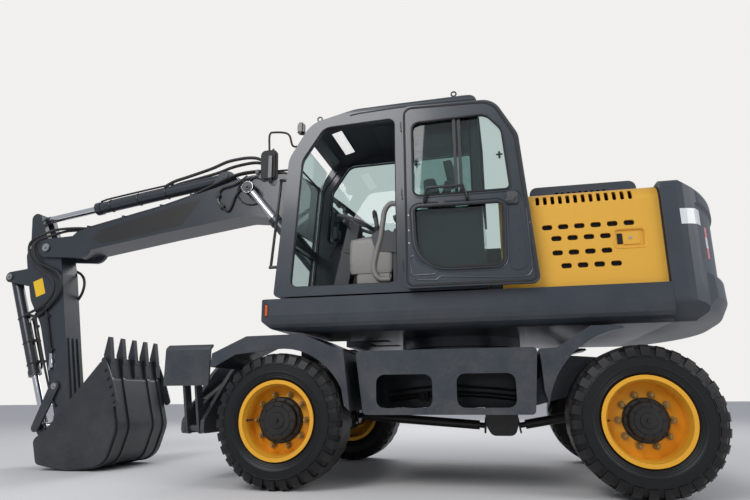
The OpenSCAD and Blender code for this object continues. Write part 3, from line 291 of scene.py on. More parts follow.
class Shade:
    """A material under way."""

    def __init__(self, name: str) -> None:
        """Starts a material with a Principled shader.

        Args:
            name: The material's name.
        """
        self.material = bpy.data.materials.new(name)
        self.material.use_nodes = True
        self.tree = self.material.node_tree
        self.tree.nodes.clear()
        self.out = self.tree.nodes.new("ShaderNodeOutputMaterial")
        self.skin = self.tree.nodes.new("ShaderNodeBsdfPrincipled")
        self.tree.links.new(self.skin.outputs[0], self.out.inputs["Surface"])
        self.where = self.node("ShaderNodeTexCoord", {}, {})["Object"]

    def node(self, kind: str, settings: dict[str, Any], values: dict[Any, Any]) -> Result:
        """Adds a node.

        Args:
            kind: The node's type.
            settings: Its settings, such as an operation or a ramp's stops.
            values: Values or links of its sockets.

        Returns:
            The node's outputs.
        """
        node = self.tree.nodes.new(kind)
        for key, value in settings.items():
            if key == "stops":
                ramp = node.color_ramp.elements
                while len(ramp) < len(value):
                    ramp.new(1.0)
                for stop, (place, colour) in zip(ramp, value):
                    stop.position = place
                    stop.color = (*colour, 1.0)
            else:
                setattr(node, key, value)
        for key, value in values.items():
            self.feed(node.inputs[key], value)
        return Result(self, node)

    def feed(self, socket: bpy.types.NodeSocket, value: Any) -> None:
        """Links a value to a socket, or sets it there."""
        if isinstance(value, Value):
            self.tree.links.new(value.socket, socket)
        elif socket.type == "RGBA" and len(value) == 3:
            socket.default_value = (*value, 1.0)
        else:
            socket.default_value = value

    def set(self, **values: Any) -> None:
        """Feeds the skin's sockets; an underscore in a name stands for a space."""
        for key, value in values.items():
            self.feed(self.skin.inputs[key.replace("_", " ")], value)

    def noise(self, scale: float, detail: float = 3.0,
              stretch: Sequence[float] = (1, 1, 1)) -> Value:
        """Soft random value from 0 to 1.

        Args:
            scale: Spots in a metre.
            detail: Finer layers of it.
            stretch: Factor on the places along each axis.

        Returns:
            The value.
        """
        where = self.where
        if tuple(stretch) != (1, 1, 1):
            where = self.node("ShaderNodeVectorMath", {"operation": "MULTIPLY"},
                              {0: where, 1: tuple(stretch)})["Vector"]
        values = {"Vector": where, "Scale": scale, "Detail": detail}
        return self.node("ShaderNodeTexNoise", {}, values)["Fac"]

    def mix(self, share: Any, a: Any, b: Any) -> Value:
        """Colour between a and b.

        Args:
            share: 0 gives a and 1 gives b.
            a: First colour.
            b: Second colour.

        Returns:
            The mixed colour.
        """
        node = self.tree.nodes.new("ShaderNodeMix")
        node.data_type = "RGBA"
        self.feed(node.inputs[0], share)
        self.feed(node.inputs[6], a)
        self.feed(node.inputs[7], b)
        return Value(self, node.outputs[2])

    def axes(self) -> tuple[Value, Value, Value]:
        """The place's x, y and z."""
        parts = self.node("ShaderNodeSeparateXYZ", {}, {"Vector": self.where})
        return parts["X"], parts["Y"], parts["Z"]

    def upward(self) -> Value:
        """Upward share of the surface's direction."""
        facing = self.node("ShaderNodeNewGeometry", {}, {})["Normal"]
        return self.node("ShaderNodeSeparateXYZ", {}, {"Vector": facing})["Z"]

    def bump(self, height: Value, depth: float, strength: float = 1.0, under: Any = None) -> Value:
        """Normal from a height.

        Args:
            height: The height, from 0 to 1.
            depth: What 1 stands for, in metres.
            strength: Share of the effect.
            under: A normal that this one adds to.

        Returns:
            The normal.
        """
        values = {"Height": height, "Distance": depth, "Strength": strength}
        if under is not None:
            values["Normal"] = under
        return self.node("ShaderNodeBump", {}, values)["Normal"]


@dataclass(frozen=True)
class Finish:
    """A finish and the record's slot that it stands for."""

    name: str
    slot: str

    def dress(self, shade: Shade) -> None:
        """Sets the shader; each kind has its own."""
        raise NotImplementedError

    def material(self) -> bpy.types.Material:
        """The finish's material, made once."""
        made = bpy.data.materials.get(self.name)
        if made is None:
            shade = Shade(self.name)
            self.dress(shade)
            made = shade.material
        return made


@dataclass(frozen=True)
class Paint(Finish):
    """Machine paint with a light peel, dust that lies low and a few rubbed spots."""

    colour: Colour = (0.1, 0.1, 0.1)
    rough: float = 0.36
    coat: float = 0.25
    dust: float = 0.35
    dust_colour: Colour = (0.26, 0.22, 0.18)
    rubbed: float = 0.25
    grain: float = 0.0

    def dress(self, shade: Shade) -> None:
        """Sets colour, gloss and the fine relief."""
        cloud = shade.noise(1.7, 4)
        tone = shade.mix(cloud.within(0.3, 0.7), scaled(self.colour, 0.9), scaled(self.colour, 1.1))
        low = 1 - shade.axes()[2].within(0.1, 1.5)
        specks = shade.noise(38, 5).within(0.42, 0.75)
        film = shade.noise(5.5, 5).within(0.35, 0.8)
        lying = shade.upward().within(0.55, 1.0)
        place = low * 0.75 + lying * 0.5 + 0.08
        dust = (place * (film * 0.7 + specks * 0.3) * self.dust).within(0, 1)
        streaks = shade.noise(7, 4, (6, 6, 0.5)).within(0.56, 0.74)
        rub = streaks * shade.noise(2.3, 2).within(0.5, 0.7) * self.rubbed
        tone = shade.mix(rub * 0.35, tone, scaled(self.colour, 1.6, 0.03))
        shade.set(Base_Color=shade.mix(dust, tone, self.dust_colour))
        rough = dust * 0.4 + rub * 0.2 + cloud * 0.08 + (self.rough - 0.04)
        shade.set(Roughness=rough.within(0, 1))
        shade.set(Coat_Weight=self.coat, Coat_Roughness=0.12, Specular_IOR_Level=0.5)
        if self.grain:
            coarse = shade.bump(shade.noise(55, 3), 0.002 * self.grain, 0.5)
            shade.set(Normal=shade.bump(shade.noise(420, 3), 0.0009 * self.grain, 0.6, coarse))
        else:
            shade.set(Normal=shade.bump(shade.noise(180, 2), 0.0004, 0.25))


@dataclass(frozen=True)
class Rubber(Finish):
    """Black rubber of hoses and seals."""

    colour: Colour = (0.013, 0.013, 0.014)
    rough: float = 0.62

    def dress(self, shade: Shade) -> None:
        """Sets a soft sheen with a little dust."""
        film = shade.noise(9, 4).within(0.45, 0.8)
        shade.set(Base_Color=shade.mix(film * 0.25, self.colour, (0.1, 0.09, 0.08)))
        shade.set(Roughness=(film * 0.2 + self.rough).within(0, 1))
        shade.set(Normal=shade.bump(shade.noise(300, 2), 0.0004, 0.4))


@dataclass(frozen=True)
class TyreRubber(Finish):
    """Tyre rubber with moulded rings in its side, and grooves and dust in its tread; the grooves are painted
    darker as shade.
    """

    centre: tuple[float, float, float] = (0.0, 0.0, 0.5)
    tip: float = 0.5
    pitches: int = 30

    def dress(self, shade: Shade) -> None:
        """Sets rings round the wheel's axis, a zigzag tread and dust on it, with painted shade in the tread's
        grooves.
        """
        x, y, z = shade.axes()
        across = x - self.centre[0]
        height = z - self.centre[2]
        lane = abs(y - self.centre[1])
        radius = (across * across + height * height) ** 0.5
        turn = height.angle(across) * float(self.pitches)
        tread = radius.within(self.tip - 0.07, self.tip)
        crown = radius.within(self.tip - 0.022, self.tip - 0.014)
        zigzag = abs(lane - 0.046 - turn.sine() * 0.012) < 0.0065
        bars = (turn + lane * 26.0).sine() > 0.86
        groove_and_painted_shade = zigzag.most(bars) * crown * (lane < 0.118)
        film = shade.noise(11, 5).within(0.3, 0.75)
        grit = shade.noise(70, 4).within(0.5, 0.75)
        lying = tread * film * 0.4 + grit * tread * 0.3 + film * 0.02
        # Less dust in the grooves keeps them darker: painted shade, as the grooves are only a bump.
        dust = lying.within(0, 1.6) * (1 - groove_and_painted_shade * 0.7)
        shade.set(Base_Color=shade.mix(dust, (0.006, 0.0065, 0.0075), (0.1, 0.082, 0.066)))
        shade.set(Roughness=(dust * 0.3 + 0.42).within(0, 1))
        shade.set(Specular_IOR_Level=0.32)
        rings = (radius * 420.0).sine().within(-1, 1) * (1 - tread)
        cut = shade.bump(1 - groove_and_painted_shade, 0.014, 1.0, shade.bump(shade.noise(240, 3), 0.0007, 0.5))
        shade.set(Normal=shade.bump(rings, 0.0012, 0.35, cut))


@dataclass(frozen=True)
class Metal(Finish):
    """Bare metal: polished, plated or worn."""

    colour: Colour = (0.62, 0.64, 0.66)
    rough: float = 0.16
    wear: float = 0.1
    scuff: Sequence[float] = (1, 1, 1)

    def dress(self, shade: Shade) -> None:
        """Sets gloss with fine scratches."""
        lines = shade.noise(60, 4, self.scuff).within(0.4, 0.75)
        film = shade.noise(4, 3).within(0.4, 0.8)
        worn = (film * self.wear).within(0, 1)
        shade.set(Base_Color=shade.mix(worn, self.colour, scaled(self.colour, 0.45)))
        shade.set(Metallic=1.0)
        shade.set(Roughness=(lines * self.wear + film * self.wear * 0.5 + self.rough).within(0, 1))
        shade.set(Normal=shade.bump(lines, 0.0002, 0.3))


@dataclass(frozen=True)
class Glass(Finish):
    """Safety glass with a green tint."""

    colour: Colour = (0.5, 0.62, 0.61)

    def dress(self, shade: Shade) -> None:
        """Sets a clear pane."""
        shade.set(Base_Color=self.colour, Roughness=0.02, IOR=1.45, Transmission_Weight=1.0)
        shade.set(Normal=shade.bump(shade.noise(1.2, 1), 0.004, 0.08))


@dataclass(frozen=True)
class Plastic(Finish):
    """Moulded plastic with a leather grain."""

    colour: Colour = (0.03, 0.033, 0.037)
    rough: float = 0.5
    grain: float = 1.0

    def dress(self, shade: Shade) -> None:
        """Sets the grain and slight wear."""
        values = {"Vector": shade.where, "Scale": 330.0}
        cells = shade.node("ShaderNodeTexVoronoi", {}, values)["Distance"]
        film = shade.noise(3.5, 3).within(0.35, 0.75)
        shade.set(Base_Color=shade.mix(film * 0.3, self.colour, scaled(self.colour, 1.5, 0.01)))
        shade.set(Roughness=(film * 0.12 + self.rough).within(0, 1))
        shade.set(Normal=shade.bump(cells, 0.0006 * self.grain, 0.4))


@dataclass(frozen=True)
class Cloth(Finish):
    """Woven seat cloth."""

    colour: Colour = (0.2, 0.2, 0.21)

    def dress(self, shade: Shade) -> None:
        """Sets a fine weave and soft blotches."""
        x, y, z = shade.axes()
        warp = (y * 2600.0).sine().within(-1, 1)
        weft = ((x + z) * 2600.0).sine().within(-1, 1)
        film = shade.noise(6, 4).within(0.3, 0.75)
        blotch = (film * 0.5 + warp * weft * 0.3).within(0, 1)
        shade.set(Base_Color=shade.mix(blotch, self.colour, scaled(self.colour, 1.35)))
        shade.set(Roughness=0.85, Sheen_Weight=0.25)
        shade.set(Normal=shade.bump(warp * 0.5 + weft * 0.5, 0.0006, 0.6))


@dataclass(frozen=True)
class Lens(Finish):
    """Lamp lens or reflector, ribbed."""

    colour: Colour = (0.9, 0.9, 0.9)
    glow: float = 0.0
    ribs: float = 700.0

    def dress(self, shade: Shade) -> None:
        """Sets a clear ribbed plastic."""
        x, y, z = shade.axes()
        prisms = (x * self.ribs).sine() * (z * self.ribs).sine() + (y * self.ribs).sine() * 0.5
        shade.set(Base_Color=self.colour, Roughness=0.12, Coat_Weight=0.6, Coat_Roughness=0.05)
        # Emission: a faint glow on the marker lamps; on the skylight blind and the red reflectors it is
        # painted light.
        if self.glow:
            shade.set(Emission_Color=self.colour, Emission_Strength=self.glow)
        shade.set(Normal=shade.bump(prisms.within(-1.5, 1.5), 0.001, 0.5))


STEEL = tint("#2b333b")
AMBER = tint("#d89c48")
RIM = tint("#e07c02")


class Finishes:
    """All finishes of the machine."""

    body = Paint("charcoal_paint", "steel_paint", STEEL, 0.33, 0.35)
    deck = Paint("deck_paint", "steel_paint", STEEL, 0.36, 0.3, dust=0.45)
    weight = Paint("weight_paint", "dark_paint", tint("#30373f"), 0.42, 0.15, dust=0.25, grain=0.8)
    hood = Paint("amber_paint", "amber_paint", AMBER, 0.3, 0.45, dust=0.25, rubbed=0.12,
                 dust_colour=(0.36, 0.25, 0.12))
    lid = Paint("lid_paint", "dark_paint", tint("#363d46"), 0.34, 0.3)
    rim = Paint("rim_paint", "rim_paint", RIM, 0.3, 0.3, dust=0.1, rubbed=0.05,
                dust_colour=(0.3, 0.17, 0.07))
    axle = Paint("axle_paint", "axle_black", tint("#101113"), 0.4, 0.2, dust=0.25)
    hub = Paint("hub_paint", "axle_black", tint("#08090a"), 0.42, 0.0, dust=0.12, rubbed=0.1)
    rail = Paint("rail_paint", "rail_black", tint("#17181a"), 0.3, 0.3, dust=0.2)
    arm = Paint("arm_paint", "steel_paint", tint("#293037"), 0.35, 0.3, dust=0.25)
    band = Paint("boom_band", "steel_paint", tint("#2b2a28"), 0.3, 0.2, dust=0.15)
    bucket = Paint("bucket_paint", "bucket_steel", tint("#22272d"), 0.38, 0.2, dust=0.22, rubbed=0.4,
                   grain=0.4)
    cast = Paint("cast_paint", "cast_iron", tint("#3a3d40"), 0.55, 0.0, dust=0.5, grain=1.0)
    chrome = Metal("chrome_plate", "chrome", (0.72, 0.73, 0.75), 0.1, 0.08, (0.2, 1, 0.2))
    stud = Metal("stud_zinc", "rim_paint", (0.42, 0.27, 0.1), 0.4, 0.35)
    steel_bolt = Metal("bolt_zinc", "axle_black", (0.42, 0.42, 0.43), 0.38, 0.35)
    seal = Rubber("seal_rubber", "rail_black")
    hose = Rubber("hose_rubber", "rail_black", (0.016, 0.016, 0.017), 0.5)
    pane = Glass("safety_glass", "cab_glass")
    plastic = Plastic("cab_plastic", "cab_plastic")
    lining = Plastic("cab_lining", "cab_plastic", tint("#33383e"), 0.6, 0.7)
    mat = Plastic("floor_mat", "cab_plastic", (0.014, 0.014, 0.015), 0.7, 1.5)
    cloth = Cloth("seat_cloth", "seat_fabric")
    side_cloth = Cloth("seat_side_cloth", "seat_fabric", (0.3, 0.29, 0.28))
    white_lens = Lens("white_lens", "cab_glass", (0.85, 0.87, 0.88))
    marker_lens = Lens("marker_lens", "rail_black", (0.62, 0.09, 0.015), 0.08)
    # The skylight's pale blind glows: painted light standing in for daylight through the roof window, though
    # it is no lamp.
    skylight = Lens("skylight_blind", "cab_glass", (0.95, 0.95, 0.93), 0.7, 60.0)
    film = Plastic("wrapping_film", "seat_fabric", tint("#7b7974"), 0.25, 3.0)
    # The red reflectors glow faintly: painted light, as they are no lamps.
    red_lens = Lens("red_lens", "rail_black", (0.65, 0.01, 0.015), 0.1)
    white_strip = Lens("white_strip", "rail_black", (0.8, 0.8, 0.8), 0.0, 1400.0)
    yellow_sign = Lens("yellow_sign", "rail_black", tint("#f5c518"), 0.0, 5.0)
    white_sign = Lens("white_sign", "rail_black", tint("#d8dadb"), 0.0, 5.0)
    # Near-black finish that paints shade: on the engine inside the hood, on the sheet behind the vents and in
    # the latch's finger hole.
    dark_inside = Plastic("engine_dark", "cast_iron", (0.006, 0.006, 0.006), 0.8, 0.2)


# Meshes


def around(axis: Vector, sides: int) -> list[Vector]:
    """Directions square to an axis, once round it."""
    u = axis.orthogonal().normalized()
    v = axis.cross(u)
    return [u * math.cos(math.tau * k / sides) + v * math.sin(math.tau * k / sides) for k in range(sides)]


class Form:
    """One piece's mesh under way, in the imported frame. Each shape gives the form back."""

    def __init__(self, name: str) -> None:
        """Starts an empty mesh.

        Args:
            name: The piece's name.
        """
        self.name = name
        self.mesh = bmesh.new()

    def _bevel(self, verts: Iterable[bmesh.types.BMVert], width: float) -> None:
        """Rounds the sharp edges among some vertices."""
        chosen = set(verts)
        edges = [e for e in self.mesh.edges if e.verts[0] in chosen and e.verts[1] in chosen
                 and len(e.link_faces) == 2 and e.calc_face_angle(0) > SHARP]
        if width > 0 and edges:
            bmesh.ops.bevel(self.mesh, geom=edges, offset=width, segments=2, affect="EDGES",
                            clamp_overlap=True)

    def loft(self, rings: Sequence[Sequence[Vector]], bevel: float = 0.0, closed: bool = False) -> "Form":
        """Skin over rings of equal length, with flat ends.

        Args:
            rings: Closed rings of points.
            bevel: Rounding of the sharp edges.
            closed: Whether the last ring joins the first.

        Returns:
            This form.
        """
        grid = [[self.mesh.verts.new(p) for p in ring] for ring in rings]
        n = len(grid[0])
        pairs = list(zip(grid, grid[1:]))
        if closed:
            pairs.append((grid[-1], grid[0]))
        faces = [self.mesh.faces.new((a[i], a[(i + 1) % n], b[(i + 1) % n], b[i]))
                 for a, b in pairs for i in range(n)]
        if not closed:
            faces.append(self.mesh.faces.new(list(reversed(grid[0]))))
            faces.append(self.mesh.faces.new(grid[-1]))
        bmesh.ops.recalc_face_normals(self.mesh, faces=faces)
        self._bevel([v for ring in grid for v in ring], bevel)
        return self

    def prism(self, outline: Sequence[Flat], place: Place, low: float, high: float,
              bevel: float = 0.0) -> "Form":
        """Outline drawn out across the side view.

        Args:
            outline: Points of the outline.
            place: Gives the point of outline coordinates and a distance across.
            low: Where it starts.
            high: Where it ends.
            bevel: Rounding of the sharp edges.

        Returns:
            This form.
        """
        return self.loft([along(place, outline, y) for y in (low, high)], bevel)

    def plate(self, loops: Sequence[Sequence[Flat]], place: Place, low: float, high: float,
              bevel: float = 0.0) -> "Form":
        """Outline with holes, drawn out across the side view.

        Args:
            loops: The outline, then each hole's.
            place: Gives the point of outline coordinates and a distance across.
            low: Where it starts.
            high: Where it ends.
            bevel: Rounding of the sharp edges.

        Returns:
            This form.
        """
        flat = [[Vector((u, v, 0)) for u, v in loop] for loop in loops]
        points = [q for loop in flat for q in loop]
        near, far = ([self.mesh.verts.new(place(q.x, q.y, y)) for q in points] for y in (low, high))
        faces = [self.mesh.faces.new([skin[i] for i in three])
                 for three in tessellate_polygon(flat) for skin in (near, far)]
        first = 0
        for loop in flat:
            for k in range(len(loop)):
                a, b = first + k, first + (k + 1) % len(loop)
                faces.append(self.mesh.faces.new((near[a], near[b], far[b], far[a])))
            first += len(loop)
        bmesh.ops.recalc_face_normals(self.mesh, faces=faces)
        self._bevel(near + far, bevel)
        return self

    def box(self, low: Vector, high: Vector, bevel: float = 0.0) -> "Form":
        """Box between two corners."""
        ring = [(low.x, low.y), (high.x, low.y), (high.x, high.y), (low.x, high.y)]
        return self.loft([[Vector((x, y, z)) for x, y in ring] for z in (low.z, high.z)], bevel)

    def block(self, middle: Vector, half: Sequence[float], bevel: float = 0.0) -> "Form":
        """Box about its middle, from its half sizes."""
        return self.box(middle - Vector(half), middle + Vector(half), bevel)

    def bar(self, a: Vector, b: Vector, radius: float, sides: int = 24, bevel: float = 0.0,
            end_radius: float | None = None) -> "Form":
        """Round bar from a to b.

        Args:
            a: Its start.
            b: Its end.
            radius: Its radius.
            sides: Sides of its rings.
            bevel: Rounding of its ends.
            end_radius: Radius at b, where it differs.

        Returns:
            This form.
        """
        spokes = around((b - a).normalized(), sides)
        last = radius if end_radius is None else end_radius
        return self.loft([[m + r * spoke for spoke in spokes] for m, r in ((a, radius), (b, last))], bevel)

    def tube(self, path: Sequence[Vector], radius: float, sides: int = 12, step: float = 0.0,
             closed: bool = False, flat: float = 1.0, ribs: float = 0.0) -> "Form":
        """Tube along a path, with rings that don't twist.

        Args:
            path: Points along its middle.
            radius: Its radius.
            sides: Sides of its rings.
            step: Distance of the points on a smooth path through the given ones; 0 keeps those.
            closed: Whether it ends where it starts.
            flat: Height of a ring over its width.
            ribs: Share by which every second ring is wider.

        Returns:
            This form.
        """
        if step:
            path = curved(path, step)
        n = len(path)
        normal = None
        rings = []
        for i, p in enumerate(path):
            ahead = path[(i + 1) % n] if closed or i + 1 < n else p
            behind = path[i - 1] if closed or i > 0 else p
            way = (ahead - behind).normalized()
            if normal is None:
                normal = way.orthogonal().normalized()
            normal = (normal - way * normal.dot(way)).normalized()
            side = way.cross(normal)
            r = radius * (1 + (ribs if i % 2 else 0))
            rings.append([p + r * (normal * math.cos(math.tau * k / sides)
                                   + side * flat * math.sin(math.tau * k / sides)) for k in range(sides)])
        return self.loft(rings, closed=closed)

    def bead(self, loop: Sequence[Vector], radius: float, sides: int = 8) -> "Form":
        """Round bead along a closed loop."""
        return self.tube(loop, radius, sides, closed=True)

    def hex(self, base: Vector, axis: Vector, size: float, height: float | None = None) -> "Form":
        """Hexagon bolt head with its washer.

        Args:
            base: Middle of the washer's seat.
            axis: Outward direction.
            size: Half the head's width over corners.
            height: The head's height.

        Returns:
            This form.
        """
        tall = size * 0.9 if height is None else height
        self.bar(base - axis * size * 0.3, base + axis * size * 0.22, size * 1.35, 18)
        return self.bar(base, base + axis * (tall + size * 0.2), size, 6, size * 0.12)

    def lathe(self, centre: Vector, axis: Vector, profile: Sequence[Flat], sides: int) -> "Form":
        """Turned closed profile.

        Args:
            centre: A point on the axis.
            axis: The axis.
            profile: Closed profile of radius and distance along the axis.
            sides: Stretches round the axis.

        Returns:
            This form.
        """
        out = axis.normalized()
        rings = [[centre + spoke * r + out * h for r, h in profile] for spoke in around(out, sides)]
        return self.loft(rings, closed=True)

    def ring(self, centre: Vector, axis: Vector, radius: float, thick: float, sides: int,
             round_sides: int = 8) -> "Form":
        """Torus about an axis.

        Args:
            centre: Its middle.
            axis: Its axis.
            radius: Radius of the middle of its round.
            thick: Radius of the round.
            sides: Stretches round the axis.
            round_sides: Sides of the round.

        Returns:
            This form.
        """
        turns = [math.tau * k / round_sides for k in range(round_sides)]
        profile = [(radius + thick * math.cos(b), thick * math.sin(b)) for b in turns]
        return self.lathe(centre, axis, profile, sides)

    def cushion(self, low: Vector, high: Vector, crown: float, lean: float) -> "Form":
        """Crowned pad whose sides pull in between its corners.

        Args:
            low: Lowest corner.
            high: Highest corner.
            crown: Rise of its middle.
            lean: Turn about y, in radians, about the pad's low rear edge.

        Returns:
            This form.
        """
        n = 14  # points on each side
        corner_pull, side_pull = 0.07, 0.03
        size = high - low
        pivot = Vector((low.x, (low.y + high.y) / 2, low.z))
        turned = Matrix.Rotation(lean, 3, "Y")

        def real(x: float, y: float, share: float) -> Vector:
            """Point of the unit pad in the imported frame."""
            rise = crown * (1 - x * x) * (1 - y * y) if share >= 1 else 0.0
            q = Vector((low.x + size.x * (x + 1) / 2, low.y + size.y * (y + 1) / 2,
                        low.z + size.z * share + rise))
            return pivot + turned @ (q - pivot)

        outline = []
        for k in range(4 * n):
            edge, t = divmod(k, n)
            s = t / n * 2 - 1
            x, y = ((s, -1), (1, s), (-s, 1), (-1, -s))[edge]
            shrink = 1 - corner_pull * (abs(x) * abs(y)) ** 6 - side_pull * (1 - s * s)
            outline.append((x * shrink, y * shrink))
        top = 0.95
        layers = [(0.0, 0.94), (0.12, 1.0), (0.5, 1.015), (0.88, 1.0), (1.0, top)]
        layers += [(1.0, top * f) for f in (0.8, 0.55, 0.25)]
        return self.loft([[real(x * spread, y * spread, share) for x, y in outline]
                          for share, spread in layers])

    def done(self, finish: Finish, body: str, smooth: float = 0.6) -> bpy.types.Object:
        """Makes the object, dresses it and lets it ride on its body.

        Args:
            finish: Its finish.
            body: The body that it moves with; none for a piece between two bodies.
            smooth: Angle above which an edge stays sharp.

        Returns:
            The object.
        """
        data = bpy.data.meshes.new(self.name)
        self.mesh.to_mesh(data)
        self.mesh.free()
        data.shade_smooth()
        data.set_sharp_from_angle(angle=smooth)
        data.materials.append(finish.material())
        piece = bpy.data.objects.new(self.name, data)
        bpy.context.scene.collection.objects.link(piece)
        if body:
            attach(piece, body)
        log.info("%s: %d faces on %s", self.name, len(data.polygons), body or "two bodies")
        return piece


class Side(Enum):
    """A side of the machine. Its value is the sign of y there."""

    LEFT = 1
    RIGHT = -1

    @property
    def word(self) -> str:
        """Its name within a piece's name."""
        return self.name.lower()

    @property
    def out(self) -> Vector:
        """Outward direction."""
        return Vector((0, self.value, 0))

    def span(self, face: float, under: float, over: float) -> list[float]:
        """Lower and higher y of a film that reaches from under a face to over it."""
        return sorted((self.value * (face - under), self.value * (face + over)))


@dataclass
class Limb:
    """A stretch of the working arm, with its own axes in the side view."""

    start: Vector
    angle: float

    @classmethod
    def between(cls, a: Vector, b: Vector) -> "Limb":
        """Limb from one pin to another."""
        return cls(a.copy(), math.atan2(b.z - a.z, b.x - a.x))

    def p(self, u: float, v: float, y: float = 0.0) -> Vector:
        """Point u along the limb, v above it and y to the left."""
        c, s = math.cos(self.angle), math.sin(self.angle)
        return self.start + Vector((u * c - v * s, y, u * s + v * c))


@dataclass
class Layout:
    """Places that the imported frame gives."""

    frame: dict[str, Any]

    def __post_init__(self) -> None:
        """Reads the joints' places."""
        self.joints = {j["name"]: j for j in self.frame["joints"]}
        self.home = self.spot("slew").x
        foot, tip, pin = (self.spot(name) for name in ("boom_lift", "stick_swing", "bucket_curl"))
        self.boom = Limb.between(foot, tip)
        self.stick = Limb.between(tip, pin)
        self.bucket = Limb(pin, math.radians(139))

    def spot(self, joint: str) -> Vector:
        """Place of a joint's axis."""
        return Vector(self.joints[joint]["pos_m"])

    def at(self, x: float, y: float, z: float) -> Vector:
        """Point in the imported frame, from one measured at the turning centre."""
        return Vector((x + self.home, y, z))

    def side_view(self, x: float, z: float, y: float) -> Vector:
        """The same, from a side view's coordinates."""
        return self.at(x, y, z)

    def dress(self, finish: Finish, *nodes: str) -> None:
        """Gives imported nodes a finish."""
        for name in nodes:
            mesh = self.frame["nodes"][name].data
            mesh.materials.clear()
            mesh.materials.append(finish.material())
            log.info("%s: %s", name, finish.name)


@dataclass
class Wheels:
    """Wheels: tyres, rims, hubs and studs."""

    lay: Layout
    studs: int = 10
    dish: float = 0.148  # from the tyre's outer side in to the hub's seat
    rise: float = 0.118  # from the seat out to the hub's end

    def build(self) -> None:
        """Builds all four."""
        for end, hub_r in (("front", 0.168), ("rear", 0.146)):
            for side in Side:
                self.wheel(f"{end}_{side.word}", side.out, hub_r)

    def wheel(self, word: str, out: Vector, hub_r: float) -> None:
        """One wheel's finishes, hub and side rings.

        Args:
            word: Which wheel it is, within names.
            out: Outward direction.
            hub_r: The hub's radius.
        """
        body = f"wheel_{word}"
        low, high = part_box(f"tyre_{word}")
        middle = (low + high) / 2
        tyre = TyreRubber(f"tyre_rubber_{word}", "tyre_rubber", tuple(middle), (high.z - low.z) / 2)
        self.lay.dress(tyre, f"tyre_{word}")
        self.lay.dress(Finishes.rim, f"rim_{word}")
        face = middle + out * (high.y - low.y) / 2
        self.hub(body, face - out * self.dish, out, hub_r)
        rings = Form(f"tyre_side_rings_{word}")
        for radius, thick, deep in ((0.318, 0.006, 0.018), (0.333, 0.0035, 0.011), (0.357, 0.003, 0.001),
                                    (0.413, 0.0035, 0.003)):
            rings.ring(face - out * deep, out, radius, thick, 96)
        rings.done(tyre, body)

    @staticmethod
    def spokes(count: int, first: float = 0.0) -> list[Vector]:
        """Directions once round a wheel.

        Args:
            count: How many.
            first: The first one's place, as a share of a step.

        Returns:
            The directions.
        """
        turns = [math.tau * (i + first) / count for i in range(count)]
        return [Vector((math.cos(a), 0, math.sin(a))) for a in turns]

    def hub(self, body: str, seat: Vector, out: Vector, hub_r: float) -> None:
        """Studs with nuts, the hub's cover with its bolts, and the valve.

        Args:
            body: The wheel's body.
            seat: Middle of the hub's seat.
            out: Outward direction.
            hub_r: The hub's radius.
        """
        nuts = Form(f"wheel_nuts_{body}")
        for spoke in self.spokes(self.studs):
            base = seat + spoke * (hub_r + 0.028)
            nuts.hex(base + out * 0.002, out, 0.0185, 0.024)
            nuts.bar(base + out * 0.022, base + out * 0.052, 0.0105, 14, 0.002)
        nuts.done(Finishes.stud, body)
        steps = ((0.86, 0.048), (0.84, 0.09), (0.79, 0.1), (0.62, 0.102), (0.6, 0.108), (0.36, 0.109),
                 (0.34, 0.116))
        profile = [(hub_r + 0.0035, -0.02), (hub_r + 0.0035, 0.036), (hub_r - 0.005, 0.045)]
        profile += [(hub_r * share, h) for share, h in steps]
        profile += [(0.012, self.rise), (0.001, self.rise), (0.001, -0.02)]
        Form(f"hub_cover_{body}").lathe(seat, out, profile, 72).done(Finishes.hub, body)
        bolts = Form(f"hub_bolts_{body}")
        for spokes, share, rise, size in ((self.spokes(12, 0.5), 0.93, 0.046, 0.009),
                                          (self.spokes(10), 0.7, 0.101, 0.0075)):
            for spoke in spokes:
                bolts.hex(seat + spoke * hub_r * share + out * rise, out, size)
        bolts.hex(seat + out * self.rise, out, 0.014)
        bolts.done(Finishes.hub, body)
        foot = seat + Vector((0.235, 0, 0)) + out * 0.01
        neck, cap = (foot + out * h + Vector((x, 0, 0)) for h, x in ((0.065, 0.012), (0.085, 0.02)))
        valve = Form(f"valve_{body}").tube([foot, foot + out * 0.035, neck], 0.006, 10, 0.01)
        valve.bar(neck, cap, 0.008, 12, 0.002).done(Finishes.seal, body)


@dataclass
class Undercarriage:
    """Chassis, mudguards, axles and stabilizers."""

    lay: Layout

    def build(self) -> None:
        """Builds it."""
        self.lay.dress(Finishes.deck, "chassis_frame", "fenders", "stabilizer_frame",
                       "stabilizer_arm_left", "stabilizer_arm_right")
        self.lay.dress(Finishes.axle, "fixed_axle", "steered_axle", "driveline", "knuckle_left",
                       "knuckle_right", "stabilizer_barrel_left", "stabilizer_barrel_right")
        self.lay.dress(Finishes.chrome, "stabilizer_rod_left", "stabilizer_rod_right")
        self.lines()

    def lines(self) -> None:
        """Hydraulic lines that run behind the side boxes' windows to the axles."""
        at = self.lay.at
        pipe = Form("brake_lines")
        for k, z in enumerate((0.66, 0.69, 0.735)):
            run = [(-0.5, z - 0.03), (-0.2, z), (0.2, z + 0.012), (0.6, z - 0.03)]
            for s in Side:
                pipe.tube(along(self.lay.side_view, run, s.value * (0.405 + 0.03 * k)), 0.009, 10, 0.05)
        pipe.done(Finishes.hose, "chassis")
        valve = Form("brake_valve").box(at(0.26, 0.38, 0.63), at(0.34, 0.47, 0.71), 0.008)
        valve.box(at(0.28, 0.47, 0.645), at(0.32, 0.5, 0.69), 0.005)
        valve.bar(at(0.35, 0.42, 0.67), at(0.41, 0.42, 0.67), 0.018, 18, 0.004)
        valve.done(Finishes.cast, "chassis")


